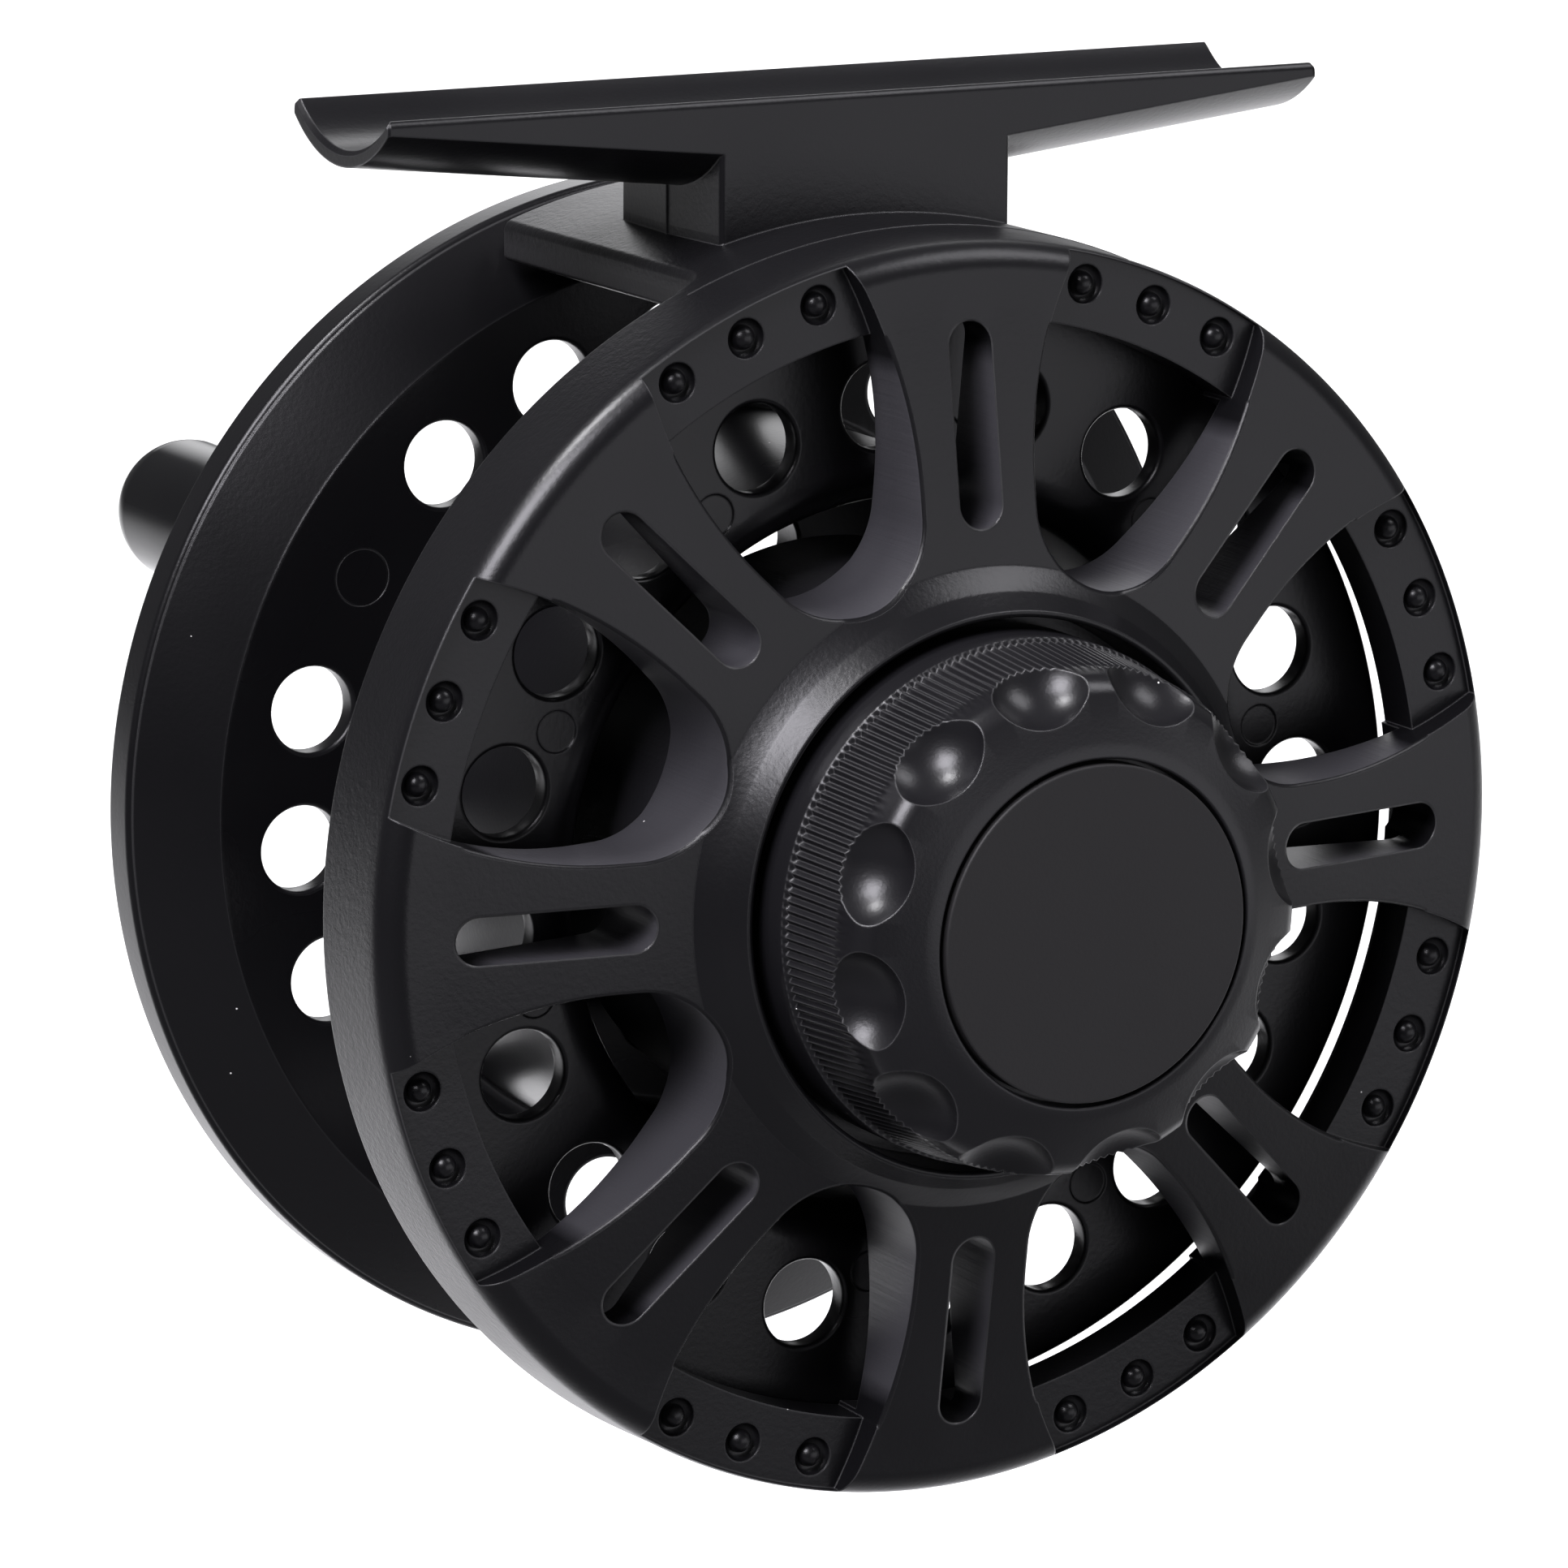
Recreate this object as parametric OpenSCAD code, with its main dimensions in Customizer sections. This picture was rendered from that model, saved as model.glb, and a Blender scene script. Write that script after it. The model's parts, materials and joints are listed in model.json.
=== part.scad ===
// Large-arbor fly reel with a front drag knob and a cast reel foot.
// Units are millimetres. +Z points up to the rod, +Y points to the handle side.
// The origin is on the axis of the foot's saddle, midway along the foot.

/* [Reel size] */
// Outer radius of the spoked frame face
rim_r = 42.5; // [42.3:0.1:43]
// Radius of the ring of small dimples on the ledges
dimple_ring_r = 40.2; // [40:0.1:40.4]
// Distance from the dimple ledge back to the edge of the frame rim
rim_depth = 6.8; // [6.5:0.1:7.2]

/* [Frame face] */
// Number of spokes and of windows between them
spoke_count = 8; // [8:1:10]
// Half width of a spoke at its narrowest place
spoke_half_w = 4.35; // [4:0.05:4.6]
// Radius of the rounded inner end of a window
window_root_r = 6.04; // [5.8:0.02:6.2]
// Radius of the curve that flares a spoke towards the rim
flare_r = 29.5; // [28:0.5:32]
// Width of the long slot in each spoke
slot_w = 3.4; // [3:0.1:3.8]
// Height of the spoke face over the ledge, near the rim
spoke_rise_rim = 2.0; // [1.6:0.1:2.2]
// Height of the spoke face over the ledge, near the hub
spoke_rise_hub = 4.5; // [4.2:0.1:4.8]
// Height of the collar round the knob over the ledge
collar_h = 7.2; // [6.6:0.1:7.6]

/* [Reel foot] */
// Length of the foot along the rod
foot_len = 70.6; // [68:0.2:73]
// Width of the foot and of its stem
foot_w = 14.2; // [13.8:0.1:14.6]
// Radius of the saddle that lies against the rod seat
saddle_r = 10.0; // [9.9:0.1:10.2]
// Depth of the saddle below its lips
saddle_depth = 2.65; // [2.6:0.01:2.7]
// Width of the stem between foot and frame
stem_w = 22.5; // [21:0.1:24]
// Height of the foot's lips over the spindle axis
foot_top = 51.0; // [50.5:0.1:51.5]

/* [Spool] */
// Outer radius of the near spool flange, which turns inside the frame rim
near_flange_r = 38.3; // [38:0.1:38.6]
// Outer radius of the far flange, which is the palming rim
palm_rim_r = 42.6; // [42.2:0.1:42.8]
// Outer radius of the arbor that the line is wound on
arbor_r = 26.3; // [26:0.1:26.6]
// Number of holes round each flange
flange_holes = 20; // [16:2:20]
// Radius of each flange hole
flange_hole_r = 3.0; // [2.6:0.1:3.1]
// Radius of the ring of flange holes
flange_hole_ring_r = 31.0; // [30.8:0.1:31.2]

/* [Drag knob] */
// Radius of the knob at its plain base band
knob_r = 17.7; // [17.5:0.1:17.9]
// Number of thumb scallops round the knob
scallop_count = 12; // [10:2:14]
// Radius of the flush disc in the middle of the knob
cap_r = 11.15; // [10.8:0.05:11.2]

/* [Handle] */
// Largest radius of the handle barrel
handle_r = 5.1; // [4.6:0.1:5.4]
// Distance of the rounded handle end behind the ledge
handle_end = 68.6; // [66:0.2:70]

/* [Hidden] */
$fn = 96;

// Shared places, measured from the ledge plane towards the knob
spoke_pitch = 360 / spoke_count;
foot_near = -11.5;
foot_mid = foot_near - foot_w / 2;
saddle_axis = foot_top - saddle_depth + saddle_r;
e = 0.01;

// Frame
rim_wall_r = 39.4;
rim_back_r = rim_r + 0.3;
ledge_in_r = 37.3;
ledge_back = -3.4;
slot_in = 25.6;
slot_out = 35.9;
dimple_r = 1.3;
dimple_dome_r = 0.72;
dimple_step = 8.0;
collar_in_r = 18.6;
collar_foot_r = 20.1;
collar_foot_h = 5.6;
seat_floor = 2.0;
wall_back = -2.0;
housing_r = 20.0;
housing_end = -18.0;
chamber_r = 16.4;
cover_seat_r = 17.2;
cover_seat = -11.6;
circlip_groove_r = 18.0;
circlip_front = -13.7;
circlip_back = -14.7;
bridge_half = 14.9;
bridge_in_r = 40.2;
bridge_end = -36.0;
bridge_fillet = 2.2;
thrust_ring_r = 10.0;
thrust_pin_r = 1.2;
fit_gap = 0.06;
detent_ring_r = 16.2;
detent_count = 24;

// Foot
belly_r = 10.4;
belly_end_z = 47.3;
belly_stem_z = 44.7;
edge_round = 0.6;

// Spool
near_front = -5.6;
near_back = -7.4;
far_front = -34.9;
far_back = -36.7;
far_crease_r = 37.0;
palm_front = -38.1;
palm_back = -41.4;
bore_r = 24.2;
bore_round = 3.0;
web_front = -33.4;
hub_r = 9.5;
hub_front = -17.25;
spigot_r = 8.4;
spigot_front = -15.5;
flange_hole_phase = 14.2;
handle_index = floor(0.8 * flange_holes);
mark_r = 1.5;
mark_ring_r = 28.6;
clutch_bore_r = 7.5;
clutch_front = -17.4;
clutch_back = -27.4;
bearing_front = -31.0;
bearing_back = -35.0;
cap_boss_r = 11.0;
cap_boss_in_r = 10.0;
cap_boss_back = -40.2;
cap_groove_front = -39.08;
cap_groove_back = -39.62;

// Spindle
spindle_r = 3.0;
spindle_front = 13.0;
spindle_back = -40.6;
spindle_bore_r = 4.5;
spindle_collar_r = 4.48;
spindle_flange_r = 6.2;
latch_groove_r = 2.3;
latch_groove_front = -36.75;
latch_groove_back = -37.65;

// Drag
journal_r = 5.0;
rotor_front = -8.45;
rotor_back = -10.45;
rotor_r = 16.0;

// Handle
handle_angle = flange_hole_phase + handle_index * 360 / flange_holes;
post_r = 1.8;

// Points along an arc of a circle, for a turned profile
function arc(cx, cy, r, a0, a1, n) =
    [for (i = [0:n]) [cx + r * cos(a0 + (a1 - a0) * i / n), cy + r * sin(a0 + (a1 - a0) * i / n)]];

// Moves drawing from the spindle frame, where +Z points at the knob, into place
module at_spindle() {
    translate([0, foot_mid, -saddle_axis]) rotate([90, 0, 0]) children();
}

// Repeats a shape round the spindle, clockwise from the top as seen from the knob
module ring_of(count, phase = 0) {
    for (i = [0:count - 1]) rotate([0, 0, -phase - i * 360 / count]) children();
}

module tube(r_out, r_in, z0, z1) {
    translate([0, 0, z0]) difference() {
        cylinder(r = r_out, h = z1 - z0);
        translate([0, 0, -e]) cylinder(r = r_in, h = z1 - z0 + 2 * e);
    }
}

module drum(r, z0, z1) {
    translate([0, 0, z0]) cylinder(r = r, h = z1 - z0);
}

// One coil spring along Z, as a swept wire
module coil(r, wire_r, length, turns) {
    sides = 8;
    steps = 20 * turns;
    pts = [for (i = [0:steps]) for (k = [0:sides - 1])
        let (t = 360 * i / 20, q = 360 * k / sides, w = r + wire_r * cos(q))
        [w * cos(t), w * sin(t), length * i / steps + wire_r * sin(q)]];
    side_faces = [for (i = [0:steps - 1]) for (k = [0:sides - 1])
        let (a = i * sides, b = (k + 1) % sides)
        [a + k, a + sides + k, a + sides + b, a + b]];
    ends = [[for (k = [0:sides - 1]) k],
        [for (k = [0:sides - 1]) steps * sides + sides - 1 - k]];
    polyhedron(pts, concat(side_faces, ends), convexity = 8);
}

// ---------------------------------------------------------------- frame

// A window between two spokes, pointing up, as far out as the radius asked for
module window_2d(reach) {
    half = spoke_pitch / 2;
    root_c = (spoke_half_w + window_root_r) / sin(half);
    waist = root_c - window_root_r * sin(half);
    intersection() {
        union() {
            translate([0, root_c]) circle(r = window_root_r);
            intersection() {
                rotate(-half) translate([-spoke_half_w - flare_r, 26.5]) circle(r = flare_r);
                rotate(half) translate([spoke_half_w + flare_r, 26.5]) circle(r = flare_r);
                translate([-reach, waist]) square([2 * reach, reach]);
            }
        }
        circle(r = reach);
    }
}

module slot_2d() {
    translate([0, slot_in]) circle(r = slot_w / 2);
    translate([0, slot_out]) circle(r = slot_w / 2);
    translate([-slot_w / 2, slot_in]) square([slot_w, slot_out - slot_in]);
}

// Section of the face, the rim and the drag housing
module frame_section() {
    polygon(concat(
        [[spindle_bore_r, wall_back], [spindle_bore_r, seat_floor],
            [collar_in_r, seat_floor], [collar_in_r, collar_h - 0.3]],
        arc(collar_in_r + 0.3, collar_h - 0.3, 0.3, 180, 60, 4),
        [[collar_foot_r, collar_foot_h], [21.6, spoke_rise_hub], [37.7, spoke_rise_rim]],
        arc(rim_r - 2.1, spoke_rise_rim - 2.3, 2.1, 84, 8, 7),
        [[rim_r, -0.9], [rim_back_r, 0.3 - rim_depth], [rim_back_r - 0.3, -rim_depth],
            [rim_wall_r + 0.2, -rim_depth], [rim_wall_r, 0.2 - rim_depth],
            [rim_wall_r, ledge_back], [ledge_in_r - 0.3, ledge_back], [ledge_in_r - 0.3, -1.2],
            [22.0, -3.4], [housing_r, -4.4], [housing_r, housing_end + 0.4],
            [housing_r - 0.4, housing_end], [cover_seat_r + 0.2, housing_end],
            [cover_seat_r, housing_end + 0.2], [cover_seat_r, circlip_back],
            [circlip_groove_r, circlip_back], [circlip_groove_r, circlip_front],
            [cover_seat_r, circlip_front], [cover_seat_r, cover_seat],
            [chamber_r, cover_seat], [chamber_r, wall_back]]));
}

// Cut for one dimple: a round dish that leaves a small dome standing
module dimple() {
    rotate_extrude($fn = 32) difference() {
        polygon([[0, 0.05], [dimple_r, 0.05], [dimple_r, 0], [dimple_r - 0.25, -0.38],
            [dimple_dome_r, -0.5], [0, -0.5]]);
        intersection() {
            translate([0, -0.5]) circle(r = dimple_dome_r, $fn = 32);
            translate([0, -0.5]) square([dimple_dome_r, dimple_dome_r]);
        }
    }
}

// Band over the spool that joins the face to the stem, drawn in the spindle frame
module bridge() {
    intersection() {
        tube(rim_back_r, bridge_in_r, bridge_end, -rim_depth + 1.5);
        union() {
            translate([-bridge_half, 0, bridge_end])
                cube([2 * bridge_half, rim_back_r + 1, -bridge_end]);
            for (side = [-1, 1]) translate([side * bridge_half, 0, -rim_depth])
                rotate([-90, 0, 0]) linear_extrude(height = rim_back_r + 1) difference() {
                    translate([-bridge_fillet * (1 - side) / 2, 0])
                        square([bridge_fillet, bridge_fillet]);
                    translate([side * bridge_fillet, bridge_fillet])
                        circle(r = bridge_fillet, $fn = 48);
                }
        }
    }
}

// Blank of the foot and stem seen along the rod: X is across the foot, Y is up
module foot_blank_2d(bottom) {
    half = foot_w / 2;
    polygon(concat(
        [[-half, bottom], [half, bottom]],
        arc(half - edge_round, foot_top - edge_round, edge_round, 0, 70, 4),
        arc(edge_round - half, foot_top - edge_round, edge_round, 110, 180, 4)));
}

// One half of the foot, running to +X, with its rounded underside sloping up
module foot_half() {
    tilt = atan((belly_end_z - belly_stem_z) / (foot_len / 2 - stem_w / 2));
    intersection() {
        rotate([90, 0, 90])
            linear_extrude(height = foot_len / 2) foot_blank_2d(foot_top - 12);
        translate([foot_len / 2, 0, belly_end_z + belly_r]) rotate([0, -90 - tilt, 0])
            translate([0, 0, -5]) cylinder(r = belly_r, h = foot_len);
    }
}

// Foot and stem, with Z up from the spindle axis and Y centred on the foot
module foot_and_stem() {
    difference() {
        union() {
            foot_half();
            mirror([1, 0, 0]) foot_half();
            translate([-stem_w / 2, 0, 0]) rotate([90, 0, 90])
                linear_extrude(height = stem_w) foot_blank_2d(rim_back_r - 1.9);
        }
        translate([-foot_len, 0, saddle_axis]) rotate([0, 90, 0])
            cylinder(r = saddle_r, h = 2 * foot_len, $fn = 128);
    }
}

module frame() {
    color([0.05, 0.05, 0.06]) difference() {
        union() {
            at_spindle() rotate_extrude($fn = 192) frame_section();
            at_spindle() bridge();
            translate([0, 0, -saddle_axis]) foot_and_stem();
        }
        at_spindle() ring_of(spoke_count, spoke_pitch / 2) {
            translate([0, 0, -6]) linear_extrude(height = 16) window_2d(ledge_in_r);
            linear_extrude(height = 10) window_2d(rim_r - 0.25);
            for (k = [-1:1]) rotate([0, 0, k * dimple_step])
                translate([0, dimple_ring_r, 0]) dimple();
        }
        at_spindle() ring_of(spoke_count)
            translate([0, 0, -6]) linear_extrude(height = 16) slot_2d();
        at_spindle() ring_of(3) translate([0, thrust_ring_r, wall_back - e])
            cylinder(r = thrust_pin_r + fit_gap, h = seat_floor - wall_back + 2 * e, $fn = 32);
        at_spindle() ring_of(detent_count) translate([0, detent_ring_r, 3.05])
            sphere(r = 1.2, $fn = 32);
    }
}

// ---------------------------------------------------------------- spindle

module spindle() {
    flange_front = wall_back - 0.02;
    color([0.72, 0.73, 0.75]) at_spindle() difference() {
        rotate_extrude() polygon([[0, spindle_back], [spindle_r - 0.8, spindle_back],
            [spindle_r, spindle_back + 0.8], [spindle_r, latch_groove_back],
            [latch_groove_r, latch_groove_back], [latch_groove_r, latch_groove_front],
            [spindle_r, latch_groove_front], [spindle_r, flange_front - 0.9],
            [spindle_flange_r, flange_front - 0.9], [spindle_flange_r, flange_front],
            [spindle_collar_r, flange_front], [spindle_collar_r, seat_floor],
            [spindle_r, seat_floor], [spindle_r, spindle_front - 0.4],
            [spindle_r - 0.4, spindle_front], [0, spindle_front]]);
        translate([0, 0, spindle_front - 8]) cylinder(r = 1.5, h = 8 + e, $fn = 32);
    }
}

module knob_screw() {
    color([0.6, 0.6, 0.62]) at_spindle() difference() {
        rotate_extrude($fn = 48) polygon([[0, spindle_front - 7], [1.2, spindle_front - 7],
            [1.48, spindle_front - 6.6], [1.48, spindle_front + 0.62],
            [2.9, spindle_front + 0.62], [2.9, spindle_front + 2.0],
            [2.4, spindle_front + 2.5], [0, spindle_front + 2.6]]);
        translate([0, 0, spindle_front + 1.2]) cylinder(r = 1.25, h = 2, $fn = 6);
    }
}

module knob_washer() {
    color([0.75, 0.72, 0.6]) at_spindle()
        tube(4.6, 1.55, spindle_front + 0.06, spindle_front + 0.56);
}

// ---------------------------------------------------------------- drag knob

cap_floor = 17.4;
cavity_r = 14.6;
cavity_top = 12.4;
boss_r = 7.0;
skirt_bottom = 3.2;
scallop_r = 4.2;
scallop_phase = 19;

module knob_section() {
    polygon(concat(
        [[spindle_r + fit_gap, skirt_bottom + 0.4], [boss_r, skirt_bottom + 0.4],
            [boss_r, cavity_top], [cavity_r, cavity_top], [cavity_r, skirt_bottom],
            [knob_r - 0.3, skirt_bottom], [knob_r, skirt_bottom + 0.3],
            [knob_r, 9.0], [knob_r - 0.2, 9.3], [16.95, 14.8], [16.6, 15.4]],
        arc(14.9, 16.3, 1.45, 0, 62, 6),
        [[13.6, 18.25], [cap_r + 0.55, 18.95], [cap_r + 0.3, 18.8], [cap_r + 0.3, cap_floor],
            [5.4, cap_floor], [5.4, spindle_front], [spindle_r + fit_gap, spindle_front]]));
}

module drag_knob() {
    color([0.06, 0.06, 0.07]) at_spindle() difference() {
        rotate_extrude($fn = 192) knob_section();
        ring_of(scallop_count, scallop_phase) translate([0, knob_r + 0.4, 18.2])
            sphere(r = scallop_r, $fn = 64);
        translate([0, detent_ring_r, skirt_bottom - e])
            cylinder(r = 1.1, h = 6.2, $fn = 32);
    }
}

module knob_cap() {
    color([0.1, 0.09, 0.08]) at_spindle() rotate_extrude() polygon([
        [0, cap_floor], [cap_r, cap_floor], [cap_r, 18.95], [cap_r - 0.2, 19.14], [0, 19.14]]);
}

module detent_ball() {
    color([0.8, 0.8, 0.82]) at_spindle() translate([0, detent_ring_r, 3.05])
        sphere(r = 1.0, $fn = 32);
}

module detent_spring() {
    color([0.7, 0.7, 0.72]) at_spindle() translate([0, detent_ring_r, 4.3])
        coil(0.75, 0.18, 4.7, 5);
}

// ---------------------------------------------------------------- drag stack

nut_bottom = 4.6;
nut_top = 7.6;
plate_front = -3.4;
plate_back = -4.4;

module thrust_nut() {
    color([0.75, 0.6, 0.3]) at_spindle() {
        tube(12.5, boss_r + fit_gap, nut_bottom, nut_top);
        ring_of(3) translate([0, thrust_ring_r, plate_front])
            cylinder(r = thrust_pin_r, h = nut_bottom - plate_front + e, $fn = 32);
    }
}

module pressure_plate() {
    color([0.7, 0.71, 0.73]) at_spindle() tube(15.6, 5.4, plate_back, plate_front);
}

// Three cone washers, stacked in turn
module disc_springs() {
    color([0.55, 0.56, 0.6]) at_spindle() for (i = [0:2])
        translate([0, 0, plate_back - 0.5 - 0.95 * i])
            mirror([0, 0, i % 2]) translate([0, 0, -0.45]) rotate_extrude()
                polygon([[6.6, 0.5], [14.6, 0], [14.6, 0.4], [6.6, 0.9]]);
}

module front_friction_washer() {
    color([0.16, 0.14, 0.12]) at_spindle() tube(rotor_r, 6.2, -8.4, -7.4);
}

module rear_friction_washer() {
    color([0.16, 0.14, 0.12]) at_spindle() tube(rotor_r, 6.8, -11.5, -10.5);
}

// Drag disc in one piece with the journal that the one-way clutch grips
module drag_rotor() {
    color([0.7, 0.72, 0.74]) at_spindle() rotate_extrude() polygon([
        [3.6, clutch_back - 0.4], [journal_r - 0.3, clutch_back - 0.4],
        [journal_r, clutch_back - 0.1], [journal_r, rotor_back], [rotor_r, rotor_back],
        [rotor_r, rotor_front], [3.6, rotor_front]]);
}

module rotor_bush() {
    color([0.72, 0.52, 0.28]) at_spindle()
        tube(3.58, spindle_r + 0.04, clutch_back, rotor_front);
}

// Plate that closes the drag housing and carries the click pin and the spring post
module drag_cover() {
    color([0.2, 0.2, 0.21]) at_spindle() difference() {
        union() {
            drum(17.1, circlip_front + 0.05, cover_seat - 0.02);
            translate(spring_post) drum(0.9, gear_back, circlip_front + 0.1);
        }
        drum(6.7, circlip_front - 1, cover_seat + 1);
        translate(pawl_pivot) drum(1.02, circlip_front - 1, circlip_front + 1.5);
        translate([spring_post[0] - 0.18, spring_post[1] - 1, gear_back - 1]) cube([0.36, 1.1, 2.4]);
    }
}

module cover_circlip() {
    color([0.5, 0.5, 0.52]) at_spindle() difference() {
        tube(17.85, 16.2, circlip_back + 0.05, circlip_front - 0.02);
        translate([-2.2, 0, circlip_back - 1]) cube([4.4, 20, 3]);
    }
}

module shaft_seal() {
    color([0.08, 0.08, 0.08]) at_spindle() rotate_extrude() polygon([
        [6.65, -11.75], [6.65, -13.5], [5.5, -13.5], [5.08, -13.0], [5.08, -12.7],
        [5.5, -12.4], [5.5, -11.75]]);
}

// ---------------------------------------------------------------- click

gear_teeth = 24;
gear_front = -15.45;
gear_back = -17.2;
pawl_front = -15.3;
pawl_pivot = [11.6, -9.0];
spring_post = [14.3, 5.2];

module click_gear() {
    color([0.78, 0.68, 0.4]) at_spindle() translate([0, 0, gear_back])
        linear_extrude(height = gear_front - gear_back) difference() {
            union() {
                circle(r = 10.1);
                for (i = [0:gear_teeth - 1]) rotate((i + 0.5) * 360 / gear_teeth)
                    polygon([[9.9, -0.55], [11.0, -0.3], [11.0, 0.3], [9.9, 0.55]]);
            }
            circle(r = spigot_r + 0.02);
        }
}

module click_pawl() {
    color([0.75, 0.76, 0.78]) at_spindle() difference() {
        union() {
            translate(pawl_pivot) drum(2.0, gear_back, pawl_front);
            translate([0, 0, gear_back]) linear_extrude(height = pawl_front - gear_back)
                polygon([[10.6, -8.6], [12.0, -1.2], [11.6, -0.5], [10.3, 0], [11.6, 0.5],
                    [12.9, 1.3], [14.0, 0.6], [13.5, -8.6]]);
        }
        translate(pawl_pivot) drum(1.05, gear_back - 1, pawl_front + 1);
    }
}

module pawl_pin() {
    color([0.65, 0.66, 0.68]) at_spindle() translate([pawl_pivot[0], pawl_pivot[1], -17.6])
        cylinder(r = 1.0, h = circlip_front + 1.4 + 17.6, $fn = 48);
}

// Flat spring that presses the pawl onto the gear
module pawl_spring() {
    color([0.7, 0.7, 0.72]) at_spindle() translate([0, 0, gear_back + 0.2])
        linear_extrude(height = 1.2)
            polygon([[14.25, -6.6], [14.2, 0.8], [14.15, 5.2], [14.45, 5.2], [14.5, 0.8],
                [14.55, -6.6]]);
}

// ---------------------------------------------------------------- spool

module clutch_shell() {
    color([0.6, 0.62, 0.66]) at_spindle()
        tube(clutch_bore_r - 0.02, 6.88, clutch_back, clutch_front);
}

module clutch_rollers() {
    color([0.82, 0.83, 0.85]) at_spindle() ring_of(10) translate([0, 5.96, clutch_back + 0.8])
        cylinder(r = 0.9, h = clutch_front - clutch_back - 1.6, $fn = 32);
}

// Section of the whole spool, from the near flange round the arbor to the far flange
module spool_section() {
    polygon(concat(
        arc(near_flange_r - 0.8, near_front - 0.8, 0.8, 90, 0, 4),
        [[near_flange_r, near_back + 0.4], [near_flange_r - 0.4, near_back],
            [arbor_r + 0.8, near_back], [arbor_r, near_back - 0.8],
            [arbor_r, far_front + 0.8], [arbor_r + 0.8, far_front],
            [far_crease_r, far_front], [39.4, -36.25], [palm_rim_r - 0.35, palm_front],
            [palm_rim_r, palm_front - 0.3], [palm_rim_r, palm_back + 0.5],
            [palm_rim_r - 0.5, palm_back], [palm_rim_r - 1.7, palm_back],
            [palm_rim_r - 2.0, palm_back + 0.4], [40.1, -39.2], [38.8, -38.0],
            [far_crease_r, far_back - 0.2], [far_crease_r - 1, far_back],
            [cap_boss_r + 0.6, far_back], [cap_boss_r, far_back - 0.6],
            [cap_boss_r, cap_boss_back + 0.4], [cap_boss_r - 0.4, cap_boss_back],
            [cap_boss_in_r, cap_boss_back], [cap_boss_in_r, cap_groove_back],
            [cap_boss_in_r + 0.45, cap_groove_back], [cap_boss_in_r + 0.45, cap_groove_front],
            [cap_boss_in_r, cap_groove_front], [cap_boss_in_r, far_back],
            [spindle_r + 0.06, far_back], [spindle_r + 0.06, bearing_back - 0.4],
            [4.6, bearing_back - 0.4],
            [4.6, bearing_back], [7.02, bearing_back], [7.02, bearing_front],
            [5.6, bearing_front], [5.6, clutch_back - 0.5], [clutch_bore_r, clutch_back - 0.5],
            [clutch_bore_r, spigot_front], [spigot_r, spigot_front], [spigot_r, hub_front],
            [hub_r - 0.2, hub_front], [hub_r, hub_front - 0.2],
            [hub_r, web_front + 1.2], [hub_r + 1.2, web_front],
            [bore_r - 1.4, web_front], [bore_r - 0.4, web_front + 1.0]],
        arc(bore_r + bore_round, near_front - bore_round, bore_round, 180, 90, 7)));
}

module spool() {
    boss_top = far_back - 1.8;
    color([0.05, 0.05, 0.06]) at_spindle() difference() {
        union() {
            rotate_extrude($fn = 192) spool_section();
            rotate([0, 0, -handle_angle]) translate([0, flange_hole_ring_r, boss_top])
                cylinder(r1 = 5.0, r2 = 5.6, h = far_back - boss_top + e, $fn = 48);
        }
        ring_of(flange_holes, flange_hole_phase) translate([0, flange_hole_ring_r, near_back - 1])
            cylinder(r = flange_hole_r, h = 4, $fn = 48);
        for (i = [0:flange_holes - 1]) if (i != handle_index)
            rotate([0, 0, -flange_hole_phase - i * 360 / flange_holes])
                translate([0, flange_hole_ring_r, far_back - 1])
                    cylinder(r = flange_hole_r, h = 4, $fn = 48);
        ring_of(flange_holes / 2, flange_hole_phase - 180 / flange_holes)
            translate([0, mark_ring_r, near_front - 0.12]) tube(mark_r, mark_r - 0.2, 0, 1);
        ring_of(10, flange_hole_phase) translate([0, 16.8, far_back - 1])
            cylinder(r = 2.9, h = 6, $fn = 48);
        rotate([0, 0, -handle_angle]) translate([0, flange_hole_ring_r, boss_top - 1])
            cylinder(r = 2.0, h = 8, $fn = 48);
    }
}

module bearing_outer_race() {
    color([0.75, 0.76, 0.78]) at_spindle() difference() {
        tube(7.0, 5.75, bearing_back + 0.02, bearing_front - 0.02);
        rotate_extrude() translate([5.02, (bearing_front + bearing_back) / 2])
            circle(r = 1.15, $fn = 32);
    }
}

module bearing_inner_race() {
    color([0.75, 0.76, 0.78]) at_spindle() difference() {
        tube(4.3, spindle_r + 0.02, bearing_back + 0.02, bearing_front - 0.02);
        rotate_extrude() translate([5.02, (bearing_front + bearing_back) / 2])
            circle(r = 1.15, $fn = 32);
    }
}

module bearing_balls() {
    color([0.85, 0.86, 0.88]) at_spindle() ring_of(9)
        translate([0, 5.02, (bearing_front + bearing_back) / 2]) sphere(r = 1.1, $fn = 32);
}

// ---------------------------------------------------------------- spool release

// Spring clip that sits in the spindle groove and holds the spool on
module latch_clip() {
    color([0.7, 0.7, 0.72]) at_spindle() difference() {
        tube(4.4, latch_groove_r + 0.05, latch_groove_back + 0.1, latch_groove_front - 0.1);
        translate([-1.7, 0, latch_groove_back - 1]) cube([3.4, 6, 3]);
        for (side = [-1, 1]) rotate([0, 0, side * 105])
            translate([0, latch_groove_r, latch_groove_back - 1]) cylinder(r = 0.9, h = 3, $fn = 32);
    }
}

// Cone spring that pushes the cap back after it is pressed
module release_spring() {
    color([0.6, 0.6, 0.62]) at_spindle() rotate_extrude() polygon([
        [6.4, far_back - 0.06], [9.4, far_back - 1.1], [9.4, far_back - 1.4],
        [6.4, far_back - 0.36]]);
}

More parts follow.
